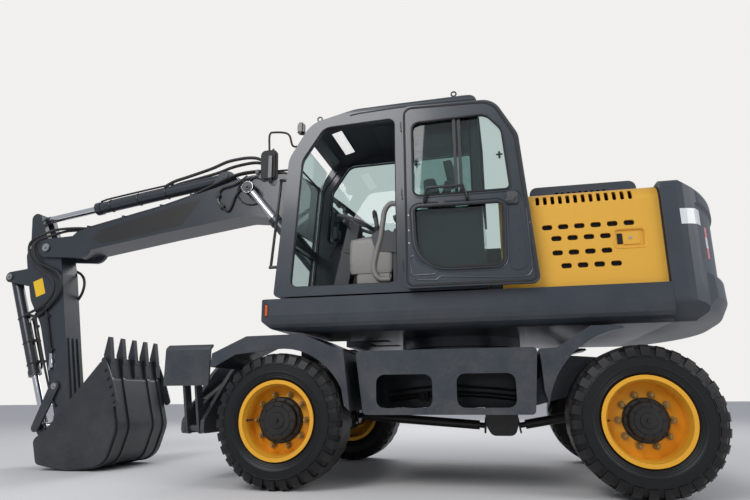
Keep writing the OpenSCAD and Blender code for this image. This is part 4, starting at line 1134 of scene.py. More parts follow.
@dataclass
class Deck:
    """Platform, counterweight and right side housing."""

    lay: Layout
    corner: float = 0.26  # the counterweight's rounding in plan
    bulge: float = 0.04  # from its upper part out to its widest

    def build(self) -> None:
        """Builds it."""
        self.lay.dress(Finishes.deck, "platform", "right_housing")
        self.lay.dress(Finishes.weight, "counterweight")
        self.markers()
        self.strips()
        self.seams()

    def markers(self) -> None:
        """Upright side marker lamps at the skirt's front ends, each in a shallow frame."""
        face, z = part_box("platform")[1].y, 1.34
        lamp = Form("side_markers")
        frame = Form("side_marker_frames")
        for s, x in ((Side.LEFT, 1.438), (Side.RIGHT, 1.1)):
            for form, wide, tall, deep in ((frame, 0.016, 0.052, 0.003), (lamp, 0.01, 0.044, 0.0055)):
                outline = rectangle(x - wide, z - tall, x + wide, z + tall, 0.004)
                form.prism(outline, self.lay.side_view, *s.span(face, 0.004, deep), 0.001)
        lamp.done(Finishes.marker_lens, "upper")
        frame.done(Finishes.rail, "upper")

    def tail(self, y: float) -> float:
        """Place of the counterweight's rear behind the turning centre.

        Args:
            y: Distance from the machine's middle.

        Returns:
            The place along x.
        """
        low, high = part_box("counterweight")
        reach = self.lay.home - low.x
        radius = reach - self.bulge
        side = high.y - self.corner
        rear = -math.sqrt(radius ** 2 - y * y)
        if y <= side:
            return rear
        middle = -math.sqrt((reach - self.corner) ** 2 - side ** 2)
        return max(rear, middle - math.sqrt(max(0.0, self.corner ** 2 - (y - side) ** 2)))

    def stuck(self, name: str, side: Side, ys: Sequence[float], z0: float, z1: float,
              finish: Finish) -> None:
        """Thin film on the counterweight's curved corner.

        Args:
            name: Its name.
            side: Its side.
            ys: Distances from the machine's middle, from its rear edge to its front edge.
            z0: Lower edge.
            z1: Upper edge.
            finish: Its finish.
        """
        spots = [Vector((self.tail(y), y, 0)) for y in ys]
        rings = []
        for ahead, spot, behind in zip(spots[:1] + spots, spots, spots[1:] + spots[-1:]):
            way = behind - ahead
            out = Vector((-way.y, way.x, 0)).normalized()
            if out.x > 0:
                out = -out
            rings.append([self.lay.at(spot.x + out.x * k, side.value * (spot.y + out.y * k), z)
                          for k, z in ((-0.001, z0), (0.0015, z0), (0.0015, z1), (-0.001, z1))])
        Form(name).loft(rings).done(finish, "upper")

    def strips(self) -> None:
        """Red and white reflecting strips on the rear corners, the red ones with a faint painted glow, and a
        blank plate on the left.
        """
        tall = 0.078
        for s in Side:
            for k, finish in enumerate((Finishes.red_lens, Finishes.white_strip, Finishes.red_lens)):
                z1 = 1.85 - tall * k
                self.stuck(f"reflecting_strip_{s.word}_{k}", s, (1.0, 1.025, 1.052), z1 - tall, z1, finish)
        places = (1.12, 1.14, 1.16, 1.18, 1.19, 1.2, 1.206, 1.209, 1.2099)
        self.stuck("counterweight_plate", Side.LEFT, places, 1.842, 1.957, Finishes.white_sign)

    def seams(self) -> None:
        """Dark rubber joints between platform, hood and counterweight."""
        seam = Form("deck_seam")
        skirt = ((-1.56, 1.431), (-0.43, 1.431))
        for s in Side:
            seam.tube(along(self.lay.side_view, skirt, s.value * 1.171), 0.006, 8)
        x, wall, top, r = -1.5665, 1.17, 2.175, 0.11
        half = [(wall, 1.436), (wall, top - r)]
        half += [(wall - r + r * math.cos(a), top - r + r * math.sin(a))
                 for a in (math.pi / 12 * k for k in range(1, 7))]
        half += [(-y, z) for y, z in reversed(half)]
        seam.tube([self.lay.at(x, y, z) for y, z in half], 0.0055, 8)
        seam.done(Finishes.seal, "upper")


@dataclass
class Hood:
    """Engine hood with its grilles, latch and middle lid."""

    lay: Layout
    wall: float = 1.17

    def build(self) -> None:
        """Builds it."""
        self.lay.dress(Finishes.hood, "hood", "right_door")
        self.lay.dress(Finishes.lid, "hood_lid")
        # The engine is painted near-black: painted shade inside the hood.
        self.lay.dress(Finishes.dark_inside, "engine")
        self.latch()
        self.backing()
        self.lid_trim()

    def latch(self) -> None:
        """Raised frame round the latch's pocket, a near-black plate as painted shade in the finger hole, and
        the paddle's lock.
        """
        place = self.lay.side_view
        outer = rectangle(-1.442, 1.699, -1.231, 1.843, 0.026)
        frame = Form("latch_frame").bead(along(place, outer, self.wall), 0.0045)
        frame.done(Finishes.hood, "upper")
        # Near-black plate inside the pocket: painted shade of the finger hole.
        hole = rectangle(-1.288, 1.73, -1.25, 1.812, 0.006)
        Form("latch_finger_hole").prism(hole, place, self.wall - 0.013, self.wall - 0.0105).done(
            Finishes.dark_inside, "upper")
        lock = Form("latch_lock")
        for under, over, *size in ((-0.006, 0.004, 0.011, 24, 0.002), (0.002, 0.0045, 0.004, 12)):
            lock.bar(place(-1.342, 1.775, self.wall + under), place(-1.342, 1.775, self.wall + over), *size)
        lock.done(Finishes.chrome, "upper")

    def backing(self) -> None:
        """Near-black sheet behind the vents: painted shade inside the hood."""
        sheet = Form("vent_backing")
        for s in Side:
            y0, y1 = s.span(self.wall - 0.03, 0.004, 0)
            sheet.box(self.lay.at(-1.5, y0, 1.5), self.lay.at(-0.46, y1, 2.02))
        sheet.done(Finishes.dark_inside, "upper")

    def lid_trim(self) -> None:
        """Handles of the middle lid."""
        low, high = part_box("hood_lid")
        grip = Form("lid_handle")
        for y in (-0.2, 0.2):
            foot = Vector((low.x + 0.2, y, high.z - 0.002))
            arch = ((0, 0), (0, 0.03), (0.06, 0.034), (0.12, 0.03), (0.12, 0))
            grip.tube([foot + Vector((x, 0, z)) for x, z in arch], 0.006, 10, 0.01)
        grip.done(Finishes.rail, "hood_lid")


@dataclass
class Cab:
    """Cab with its glass, trim and inside."""

    lay: Layout
    inner: float = 0.345
    outer: float = 1.222
    floor: float = 1.498
    rear: float = -0.3
    front: float = 1.385
    sill: float = 1.443
    brow: float = 2.624
    rake: float = 0.101

    def __post_init__(self) -> None:
        """Works out the driver's middle line."""
        self.middle = (self.inner + self.outer) / 2

    def build(self) -> None:
        """Builds it."""
        self.lay.dress(Finishes.body, "cab_shell")
        self.lay.dress(Finishes.pane, "cab_glass")
        self.lay.dress(Finishes.rail, "handrails")
        self.lay.dress(Finishes.plastic, "console")
        self.gaskets()
        self.lining()
        self.skylight()
        self.seat()
        self.levers()
        self.panel()
        self.lamp()
        self.wiper()
        self.mirror()
        self.wrapped_pod()

    def front_at(self, z: float) -> float:
        """Place of the raked front at a height."""
        return self.front - self.rake * (z - self.sill) / (self.brow - self.sill)

    def gaskets(self) -> None:
        """Rubber beads round the windows."""
        low, back = 2.08, self.rear + 0.07
        bead = Form("window_beads")
        rear_window = rectangle(back, low, 0.25, 2.88, 0.06)
        right_window = rounded([(back, low, 0.06), (self.front - 0.19, low, 0.06),
                                (self.front - 0.23, 2.6, 0.12), (0.98, 2.86, 0.12), (back, 2.88, 0.06)])
        door_frame = rounded([(0.37, 1.515, 0.06), (self.front - 0.135, 1.515, 0.06),
                              (self.front - 0.215, 2.6, 0.16), (0.98, 2.88, 0.12), (0.37, 2.9, 0.06)])
        for outline, y, r in ((rear_window, self.outer, 0.008), (right_window, self.inner, 0.008),
                              (right_window, self.inner + 0.055, 0.008),
                              (door_frame, self.outer - 0.0095, 0.009)):
            bead.bead(along(self.lay.side_view, outline, y), r)
        for ahead, inset, z0, z1 in ((True, 0.07, 1.52, 1.93), (True, 0.07, 1.99, 2.64),
                                     (False, 0.09, 2.12, 2.86)):
            y0, y1 = self.inner + inset, self.outer - inset
            bead.bead([self.lay.at(self.front_at(z) + 0.002 if ahead else self.rear - 0.001, y, z)
                       for y, z in ((y0, z0), (y1, z0), (y1, z1), (y0, z1))], 0.009)
        bead.done(Finishes.seal, "upper")

    def lining(self) -> None:
        """Floor mat, side panels and roof lining."""
        at, side, back = self.lay.at, self.inner + 0.056, self.rear + 0.056
        top = self.floor + 0.012
        mat = Form("floor_mat").box(at(self.rear + 0.07, self.inner + 0.07, self.floor),
                                    at(self.front - 0.08, self.outer - 0.07, top), 0.004)
        for k in range(14):
            y = self.inner + 0.12 + 0.048 * k
            mat.bar(at(0.66, y, top), at(1.2, y, top), 0.004, 6)
        mat.done(Finishes.mat, "upper")
        panel = Form("cab_lining").box(at(back, side, 1.56), at(1.15, self.inner + 0.075, 2.05), 0.008)
        panel.box(at(back, self.inner + 0.08, 1.56), at(self.rear + 0.08, self.outer - 0.06, 2.08), 0.008)
        panel.box(at(back, self.outer - 0.075, 1.56), at(0.3, self.outer - 0.056, 2.06), 0.008)
        panel.done(Finishes.lining, "upper")
        under = [(-0.243, 2.99), (0.7, 2.958), (1.03, 2.866), (1.036, 2.846), (0.7, 2.938), (-0.243, 2.968)]
        roof = Form("roof_lining")
        roof.prism(under, self.lay.side_view, self.inner + 0.057, self.outer - 0.057, 0.004)
        roof.box(at(0.2, self.inner + 0.2, 2.938), at(0.62, self.outer - 0.2, 2.955), 0.01)
        roof.done(Finishes.lining, "upper")

    def skylight(self) -> None:
        """Roof window in the lining's sloped front, with its rim; its pale blind glows as painted daylight.
        """

        def slope(down: float) -> list[Vector]:
            """Corners at a depth under the slope."""
            return [self.lay.at(x, y, 2.938 - 0.2727 * (x - 0.7) - down)
                    for x, y in ((0.853, 0.64), (0.952, 0.64), (0.952, 1.11), (0.853, 1.11))]

        # The pane glows: painted light of the daylight through the roof window.
        Form("skylight").loft([slope(-0.004), slope(0.002)]).done(Finishes.skylight, "upper")
        Form("skylight_rim").bead(slope(0.002), 0.007).done(Finishes.seal, "upper")

    def seat_at(self, x: float, y: float, h: float) -> Vector:
        """Point at y from the driver's middle line and h above the floor."""
        return self.lay.at(x, self.middle + y, self.floor + h)

    def pad(self, name: str, low: Sequence[float], high: Sequence[float], crown: float,
            lean: float) -> bpy.types.Object:
        """Cloth cushion of the seat.

        Args:
            name: Its name.
            low: Lowest corner, for seat_at().
            high: Highest corner.
            crown: Rise of its middle.
            lean: Turn about its low rear edge.

        Returns:
            The object.
        """
        form = Form(name).cushion(self.seat_at(*low), self.seat_at(*high), crown, lean)
        return form.done(Finishes.cloth, "upper", 1.2)

    def seat(self) -> None:
        """Suspension seat with cushions, armrests and belt."""
        at = self.seat_at
        base = Form("seat_base").box(at(0.14, -0.17, 0), at(0.5, 0.17, 0.05), 0.01)
        for k in range(5):
            h, inset = 0.05 + 0.022 * k, 0.006 * k
            base.box(at(0.16 + inset, -0.18, h), at(0.48 - inset, 0.18, h + 0.018), 0.006)
        base.box(at(0.08, -0.22, 0.16), at(0.56, 0.22, 0.2), 0.012).done(Finishes.plastic, "upper")
        cushion = self.pad("seat_cushion", (0.1, -0.24, 0.2), (0.6, 0.24, 0.29), 0.022, -0.05)
        wings = Form("seat_side_bolsters")
        arms = Form("seat_armrests")
        low = ((0.12, 0.225, 0.28), (0.3, 0.232, 0.305), (0.5, 0.228, 0.31), (0.58, 0.2, 0.3))
        high = ((0.06, 0.22, 0.4), (0.02, 0.235, 0.65), (-0.03, 0.2, 0.88))
        rest = ((0.02, 0.27, 0.56), (0.12, 0.285, 0.6), (0.3, 0.285, 0.6), (0.42, 0.28, 0.58))
        for s in (-1, 1):
            for form, path, r, step, flat in ((wings, low, 0.032, 0.03, 1.0), (wings, high, 0.035, 0.03, 1.0),
                                              (arms, rest, 0.03, 0.02, 0.75)):
                form.tube([at(x, s * y, h) for x, y, h in path], r, 14, step, flat=flat)
        bolster = wings.done(Finishes.side_cloth, "upper", 1.2)
        back = self.pad("seat_back", (0.1, -0.23, 0.32), (0.72, 0.23, 0.42), 0.03, -1.43)
        head = self.pad("seat_headrest", (-0.01, -0.14, 0.93), (0.17, 0.14, 1.0), 0.015, -1.4)
        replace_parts(cushion, "seat_unit")
        arms.done(Finishes.plastic, "upper")
        belt = Form("seat_belt_buckle").box(at(0.2, -0.265, 0.3), at(0.235, -0.25, 0.42), 0.004)
        belt.box(at(0.19, 0.25, 0.27), at(0.24, 0.262, 0.33), 0.004).done(Finishes.seal, "upper")

    def levers(self) -> None:
        """Wrapped gate lever, pads and keys of the consoles, and the joysticks' boots."""
        at = self.lay.at
        path = [(0.36, 2.17), (0.43, 2.185), (0.48, 2.13), (0.5, 2.02), (0.52, 1.9), (0.56, 1.76),
                (0.575, 1.65), (0.53, 1.57), (0.44, 1.56)]
        lever = Form("gate_lever").tube(along(self.lay.side_view, path, 1.135), 0.021, 14, 0.012, ribs=0.09)
        lever.done(Finishes.film, "upper")
        pods = Form("console_pads")
        boots = Form("joystick_boots")
        for y in (self.middle - 0.31, self.middle + 0.31):
            pods.cushion(at(0.1, y - 0.043, 1.905), at(0.42, y + 0.043, 1.94), 0.012, -0.12)
            for k in range(4):
                x, z = 0.46 + 0.025 * k, 1.955 + 0.003 * k
                pods.box(at(x, y - 0.03, z), at(x + 0.014, y + 0.03, z + 0.017), 0.003)
            for k in range(5):
                boots.ring(at(0.546 + 0.003 * k, y, 1.96 + 0.011 * k), Vector((0.14, 0, 1)),
                           0.036 - 0.004 * k, 0.006, 24)
            boots.bar(at(0.568, y, 2.08), at(0.578, y, 2.15), 0.022, 20, 0.008, 0.018)
            for k in (-0.008, 0.008):
                boots.bar(at(0.576, y + k, 2.15), at(0.577, y + k, 2.156), 0.005, 12)
        pods.done(Finishes.plastic, "upper", 1.0)
        boots.done(Finishes.seal, "upper")

    def panel(self) -> None:
        """Monitor, the steering column's boot and switch, and the pedals' treads."""
        at, wall, middle = self.lay.at, self.inner, self.middle
        screen = Form("monitor").box(at(1.05, wall + 0.06, 2.08), at(1.09, wall + 0.22, 2.2), 0.01)
        neck = ((1.08, 0.1, 2.1), (1.12, 0.07, 2.02), (1.16, 0.065, 1.95))
        screen.tube([at(x, wall + y, z) for x, y, z in neck], 0.012, 10)
        screen.done(Finishes.plastic, "upper")
        column = Form("steering_column_trim")
        for k in range(6):
            column.ring(at(0.815 + 0.012 * k, middle, 2.02 - 0.03 * k), Vector((-0.35, 0, 1)),
                        0.05 + 0.004 * k, 0.008, 28)
        column.bar(at(0.85, middle + 0.05, 2.08), at(0.86, middle + 0.2, 2.11), 0.007, 12, 0.002)
        column.bar(at(0.86, middle + 0.17, 2.108), at(0.862, middle + 0.215, 2.114), 0.013, 14, 0.004)
        column.done(Finishes.plastic, "upper")
        pedals = Form("pedal_treads")
        for y in (middle - 0.14, middle + 0.14):
            for k in range(5):
                x, z = 1.13 - 0.016 * k, 1.5575 - 0.001 * k
                pedals.bar(at(x, y - 0.045, z), at(x, y + 0.045, z), 0.0035, 8)
        pedals.done(Finishes.seal, "upper")

    def lamp(self) -> None:
        """Lamp on the front pillar's top, with its bracket and lens."""
        at, y = self.lay.at, self.outer - 0.05
        lamp = Form("pillar_lamp").box(at(1.17, y - 0.035, 2.865), at(1.225, y + 0.035, 2.965), 0.012)
        lamp.tube([at(1.18, y, 2.88), at(1.155, y, 2.862), at(1.12, y, 2.86)], 0.009, 10)
        lamp.bar(at(1.19, y - 0.04, 2.88), at(1.19, y + 0.04, 2.88), 0.012, 16, 0.003)
        lamp.done(Finishes.rail, "upper")
        lens = Form("pillar_lamp_lens").box(at(1.224, y - 0.028, 2.872), at(1.2285, y + 0.028, 2.958), 0.002)
        lens.done(Finishes.white_lens, "upper")

    def wiper(self) -> None:
        """Windscreen wiper: arm, blade and pivot."""

        def on_glass(z: float, ahead: float, inset: float = 0.16) -> Vector:
            """Point ahead of the windscreen at a height."""
            return self.lay.at(self.front_at(z) + ahead, self.outer - inset, z)

        foot, knee = on_glass(2.03, 0.012, 0.12), on_glass(2.42, 0.012)
        wiper = Form("windscreen_wiper").tube([foot, knee], 0.006, 8)
        wiper.tube([on_glass(z, -0.016) for z in (2.2, 2.42, 2.6)], 0.007, 8)
        wiper.tube([knee, on_glass(2.42, -0.016)], 0.005, 8)
        wiper.bar(foot - Vector((0.03, 0, 0)), foot + Vector((0.012, 0, 0)), 0.018, 16, 0.004)
        wiper.done(Finishes.seal, "upper")

    def mirror(self) -> None:
        """Gutter over the door, mirror with its rail, and the roof's lifting eyes."""
        at, place, wall = self.lay.at, self.lay.side_view, self.outer
        edge = [(self.rear + 0.02, 2.985), (0.2, 2.99), (0.68, 2.972), (0.75, 2.958)]
        gutter = Form("roof_gutter").tube(along(place, edge, wall - 0.002), 0.007, 8, 0.04)
        gutter.done(Finishes.body, "upper")
        outline = rounded([(1.365, 2.425, 0.04), (1.512, 2.425, 0.04), (1.522, 2.7, 0.045),
                           (1.372, 2.7, 0.045)])
        rail = [(1.45, 0.035, 2.7), (1.455, 0.03, 2.85), (1.42, 0.02, 2.872), (1.33, 0, 2.868),
                (1.29, -0.015, 2.84), (1.262, -0.025, 2.75), (1.19, -0.03, 2.745)]
        head = Form("mirror_head").prism(outline, place, wall + 0.012, wall + 0.062, 0.016)
        head.tube([at(x, wall + y, z) for x, y, z in rail], 0.009, 10, 0.02).done(Finishes.seal, "upper")
        eyes = Form("roof_lifting_eyes")
        for x, z in ((1.042, 2.93), (-0.113, 3.025)):
            foot = at(x, wall - 0.08, z)
            for rise, *size in ((0.05, 0.007, 14, 0.001), (0.022, 0.014, 20, 0.003)):
                eyes.bar(foot, foot + Vector((0, 0, rise)), *size)
            eyes.ring(foot + Vector((0, 0, 0.07)), Vector((0, 1, 0)), 0.02, 0.0065, 28, 10)
        eyes.done(Finishes.rail, "upper")

    def wrapped_pod(self) -> None:
        """Pod in wrapping film near the door."""
        at, wall = self.lay.at, self.outer
        pod = Form("wrapped_pod")
        pod.cushion(at(0.42, wall - 0.2, 1.62), at(0.78, wall - 0.09, 1.9), 0.035, 0.0)
        pod.box(at(0.44, wall - 0.19, 1.5), at(0.72, wall - 0.1, 1.63), 0.012)
        pod.done(Finishes.film, "upper", 1.2)


@dataclass
class Door:
    """Cab door, seen from its inner side as it stands open."""

    lay: Layout
    thick: float = 0.036

    def build(self) -> None:
        """Builds it."""
        hinge = self.lay.spot("door_hinge")
        low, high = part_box("door_glass")
        self.origin = Vector((hinge.x, (low.y + high.y) / 2 + self.thick / 2, 0))
        self.axis = hinge.y - self.origin.y
        self.shell()
        self.trims()
        self.handle()
        self.pressings()

    def p(self, u: float, z: float, y: float = 0.0) -> Vector:
        """Point u behind the hinge line at height z, y out of the inner face."""
        return self.origin + Vector((-u, y, z))

    def upper(self, d: float) -> list[Flat]:
        """Outline of the upper window, d beyond its edge."""
        return rounded([(0.088 - d, 2.168 - d, 0.06 + d), (0.828 + d, 2.168 - d, 0.04 + d),
                        (0.79 + d, 2.66, 0.14 + d), (0.67 + d, 2.803 + d, 0.1 + d),
                        (0.088 - d, 2.79 + d, 0.06 + d)])

    def lower(self, d: float) -> list[Flat]:
        """Outline of the lower window, d beyond its edge."""
        return rounded([(0.09 - d, 2.084 + d, 0.04 + d), (0.768 + d, 2.076 + d, 0.05 + d),
                        (0.748 + d, 1.592 - d, 0.06 + d), (0.105 - d, 1.592 - d, 0.25 + d)])

    def shell(self) -> None:
        """Door plate with its raised window frames, hinges and both panes."""
        outline = rounded([(0.009, 1.45, 0.05), (0.997, 1.45, 0.05), (0.91, 2.61, 0.16), (0.74, 2.925, 0.16),
                           (0.009, 2.945, 0.06)], 8)
        leaf = Form("door_leaf")
        for loops, *rest in (([outline, self.upper(0), self.lower(0)], -self.thick, 0.0, 0.004),
                             ([self.upper(0.015), self.upper(0)], -0.001, 0.007, 0.003),
                             ([self.lower(0.016), self.lower(0)], -0.001, 0.014, 0.004)):
            leaf.plate(loops, self.p, *rest)
        for z in (1.62, 2.2, 2.78):
            leaf.bar(self.p(0, z, self.axis), self.p(0, z + 0.05, self.axis), 0.011, 24, 0.002)
            leaf.box(self.p(0.06, z, self.axis + 0.002), self.p(0, z + 0.05, self.axis + 0.009), 0.001)
        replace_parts(leaf.done(Finishes.body, "door"), "door")
        panes = Form("door_panes")
        for edge in (self.upper(0.002), self.lower(0.002)):
            panes.prism(edge, self.p, -0.021, -0.015)
        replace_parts(panes.done(Finishes.pane, "door"), "door_glass")

    def trims(self) -> None:
        """Beads round both windows, the edge seal and the sliding panes' stiles and catches."""
        bead = Form("door_window_beads")
        bead.bead(along(self.p, self.upper(-0.003), 0.007), 0.0085)
        bead.bead(along(self.p, self.lower(-0.003), 0.013), 0.0095)
        bead.done(Finishes.seal, "door")
        outline = rounded([(0.03, 1.47, 0.05), (0.975, 1.47, 0.05), (0.885, 2.6, 0.16), (0.725, 2.905, 0.16),
                           (0.03, 2.925, 0.06)])
        rim = Form("door_edge_seal").bead(along(self.p, outline, -0.0065), 0.012, 12)
        rim.done(Finishes.seal, "door")
        stiles = Form("door_pane_stiles")
        for u, y in ((0.425, -0.008), (0.462, -0.014)):
            stiles.box(self.p(u + 0.012, 2.168, y), self.p(u - 0.012, 2.79, y + 0.01), 0.002)
        stiles.done(Finishes.rail, "door")
        catches = Form("door_pane_catches")
        for u in (0.12, 0.76):
            for wide, tall, y0, y1 in ((0.008, 0.025, -0.012, 0.022), (0.026, 0.006, 0.006, 0.02)):
                catches.box(self.p(u + wide, 2.45 - tall, y0), self.p(u - wide, 2.45 + tall, y1), 0.004)
        catches.done(Finishes.seal, "door")

    def handle(self) -> None:
        """Grab bar and latch block."""
        flat = self.p
        path = [(0.18, 2.11, 0.0), (0.18, 2.125, 0.03), (0.2, 2.2, 0.046), (0.225, 2.215, 0.047),
                (0.455, 2.213, 0.047), (0.48, 2.2, 0.046), (0.5, 2.125, 0.03), (0.5, 2.11, 0.0)]
        bar = Form("door_grab_bar").tube(along(flat, path), 0.011, 12, 0.012)
        for u in (0.18, 0.5):
            bar.box(flat(u + 0.022, 2.1, -0.001), flat(u - 0.022, 2.132, 0.007), 0.003)
        bar.done(Finishes.rail, "door")
        block = rounded([(0.792, 2.052, 0.012), (0.872, 2.05, 0.012), (0.876, 2.142, 0.02),
                         (0.795, 2.15, 0.012)], 3)
        pull = [(0.85, 2.1, 0.02), (0.85, 2.1, 0.038), (0.83, 2.075, 0.042), (0.78, 2.07, 0.04)]
        latch = Form("door_latch").prism(block, flat, -0.001, 0.02, 0.005)
        latch.tube(along(flat, pull), 0.0075, 10, 0.01)
        latch.box(flat(0.33, 2.094, -0.001), flat(0.28, 2.124, 0.012), 0.004).done(Finishes.plastic, "door")

    def pressings(self) -> None:
        """Cover beside the lower window, pressed lines and screws."""
        flat = self.p
        outline = rounded([(0.802, 2.035, 0.015), (0.885, 2.035, 0.02), (0.905, 1.74, 0.1),
                           (0.915, 1.555, 0.05), (0.785, 1.545, 0.04), (0.812, 1.72, 0.1)])
        cover = Form("door_lock_cover").prism(outline, flat, -0.001, 0.005, 0.002)
        for u, z in ((0.83, 1.96), (0.865, 1.85), (0.83, 1.78), (0.862, 1.7), (0.825, 1.62), (0.885, 1.6)):
            cover.bar(flat(u, z, 0.004), flat(u, z, 0.008), 0.008, 14, 0.0015)
        cover.done(Finishes.body, "door")
        corner = rounded([(0.058, 1.742, 0.02), (0.13, 1.635, 0.05), (0.33, 1.553, 0.02),
                          (0.058, 1.547, 0.02)], 4)
        edge = rounded([(0.058, 1.515, 0.02), (0.25, 1.505, 0.03), (0.28, 1.532, 0.03), (0.74, 1.5, 0.03),
                        (0.945, 1.5, 0.06), (0.93, 2.05, 0.1), (0.87, 2.19, 0.05)])
        press = Form("door_pressed_lines")
        for line, closed in ((corner, True), (edge[3:-3], False), (self.lower(0.03), True)):
            press.tube(along(flat, line, -0.002), 0.0075, 10, closed=closed)
        press.done(Finishes.body, "door")
        screws = Form("door_screws")
        for u, z in ((0.05, 2.02), (0.05, 1.9), (0.05, 1.8), (0.955, 1.75), (0.945, 1.9)):
            screws.bar(flat(u, z, -0.001), flat(u, z, 0.004), 0.0065, 14, 0.0015)
        screws.done(Finishes.steel_bolt, "door")


@dataclass
class WorkingArm:
    """Boom, stick, cylinders and bucket."""

    lay: Layout
    hose: float = 0.0135  # radius of the hoses along the boom
    pipe: float = 0.0115  # radius of pipes and short hoses

    def __post_init__(self) -> None:
        """Works out the cylinders' middle lines."""
        arm, stick = self.lay.boom, self.lay.stick
        self.boom_eye = arm.p(1.753, 0.852)
        self.stick_eye = stick.p(-0.409, 0.135)
        self.stick_cylinder = Limb.between(arm.p(2.144, 1.027), self.stick_eye)
        self.bucket_cylinder = Limb.between(stick.p(0.173, 0.553), stick.p(1.913, 0.308))

    def build(self) -> None:
        """Builds it."""
        self.lay.dress(Finishes.arm, "boom", "stick", "rocker", "link", "boom_barrels", "stick_barrel",
                       "bucket_barrel")
        self.lay.dress(Finishes.chrome, "boom_rods", "stick_rod", "bucket_rod")
        self.lay.dress(Finishes.bucket, "bucket")
        self.rod_eyes()
        self.boom_hoses()
        self.crossing_loops()
        self.boom_sides()
        self.stick_hoses()
        self.cylinder_lines()
        self.stick_lines()
        self.signs()
        self.bucket_bolts()

    def rod_eyes(self) -> None:
        """Painted eyes over the rods' ends, with their pins' bolts."""
        face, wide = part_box("boom_rods")[1].y, 0.104
        eyes = Form("boom_rod_eyes")
        for s in Side:
            for under, over, r, sides in ((-wide - 0.001, 0.0015, 0.0635, 48), (0, 0.012, 0.036, 32)):
                ends = (self.boom_eye + s.out * (face + y) for y in (under, over))
                eyes.bar(*ends, r, sides, 0.004)
            eyes.hex(self.boom_eye + s.out * (face + 0.012), s.out, 0.014)
        eyes.done(Finishes.arm, "boom_rods")
        spot, half = self.stick_eye, Vector((0, 0.046, 0))
        way = (self.stick_cylinder.start - spot).normalized()
        ends = Form("stick_rod_eye").bar(spot - half, spot + half, 0.0615, 48, 0.004)
        ends.bar(spot + way * 0.035, spot + way * 0.1, 0.043, 32, 0.004).done(Finishes.arm, "stick_rod")

    def boom_hoses(self) -> None:
        """Hoses behind the boom's pipes, with their clamps."""
        arm = self.lay.boom
        feed = Form("boom_hoses")
        run = ((2.44, 0.77, 0), (2.25, 0.885, 0), (1.95, 1.045, 0), (1.6, 1.095, 0), (1.25, 1.04, 0.005),
               (0.8, 0.82, 0.01), (0.35, 0.53, 0.01), (0.02, 0.3, 0.03), (-0.16, 0.14, 0.04))
        for s in Side:
            for y in (0.143, 0.109):
                feed.tube([arm.p(u, v, s.value * (y - inset)) for u, v, inset in run], self.hose, 12, 0.03)
        feed.done(Finishes.hose, "boom")
        clamps = Form("boom_hose_clamps")
        for u, v in ((1.25, 1.035), (1.75, 1.075), (0.8, 0.8)):
            for s in Side:
                spot = arm.p(u, v, s.value * 0.124) - Vector((0, 0, 0.004))
                clamps.block(spot, (0.02, 0.045, 0.026), 0.006)
        clamps.done(Finishes.rail, "boom")

    def crossing_loops(self) -> None:
        """Hoses that loop from the boom to the stick's cylinder."""
        arm = self.lay.boom
        run = ((1.5, 1.06, 1.0, 0), (1.62, 1.16, 1.0, 0), (1.85, 1.25, 1.1, 0.015), (2.13, 1.2, 1.5, 0.01),
               (2.35, 1.1, 1.5, 0), (2.6, 1.0, 1.2, 0), (2.78, 0.93, 1.0, 0), (2.9, 0.86, 0.7, 0))
        for k, y in enumerate((-0.045, 0.045)):
            path = [arm.p(u, v + k * rise, y * spread) for u, v, spread, rise in run]
            loop = Form(f"stick_cylinder_hose_{k}").tube(path, 0.017, 12, 0.025, ribs=0.04)
            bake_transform(loop.done(Finishes.hose, ""), "boom", "stick_barrel",
                     start=arm.p(1.9, 1.2, 0), end=arm.p(2.7, 0.9, 0))

    def boom_sides(self) -> None:
        """Hoses, valve and dark band on the boom's sides."""
        arm, y = self.lay.boom, 0.18
        short = ((2.13, 0.79), (2.1, 0.85), (1.98, 0.9), (1.9, 0.955), (1.86, 1.02, 0.15))
        long = ((2.05, 0.64), (1.98, 0.61), (1.95, 0.67), (1.93, 0.78), (1.86, 0.9), (1.78, 0.99, 0.172),
                (1.7, 1.04, 0.15))
        arc = [(1.753 + 0.17 * math.cos(a), 0.852 + 0.15 * math.sin(a))
               for a in (math.radians(10 * k - 130) for k in range(27))]
        ports = ((2.13, 0.77), (2.06, 0.655))
        side = Form("boom_side_hoses")
        joints = Form("boom_side_valve")
        for s in Side:
            for run in (short, long):
                side.tube(along(arm.p, run, y, s.value), self.pipe, 10, 0.02, ribs=0.04)
            side.tube(along(arm.p, arc, 0.174, s.value), 0.007, 8)
            for u, v in ports:
                joints.bar(arm.p(u, v, s.value * 0.164), arm.p(u, v, s.value * 0.2), 0.03, 24, 0.005)
                neck = along(arm.p, ((u, v), (u + 0.005, v + 0.035)), y, s.value)
                joints.bar(*neck, 0.017, 6, 0.002)
            joints.tube(along(arm.p, (ports[0], (2.11, 0.7), ports[1]), y, s.value), 0.012, 10, 0.02)
        side.done(Finishes.hose, "boom")
        joints.done(Finishes.rail, "boom")
        band = Form("boom_side_band")
        outline = [(3.545, 0.158), (3.468, 0.272), (2.31, 0.735), (2.505, 0.405), (3.4, 0.112)]
        for s in Side:
            band.prism(outline, arm.p, *s.span(0.165, 0.0005, 0.0008))
        band.done(Finishes.band, "boom")

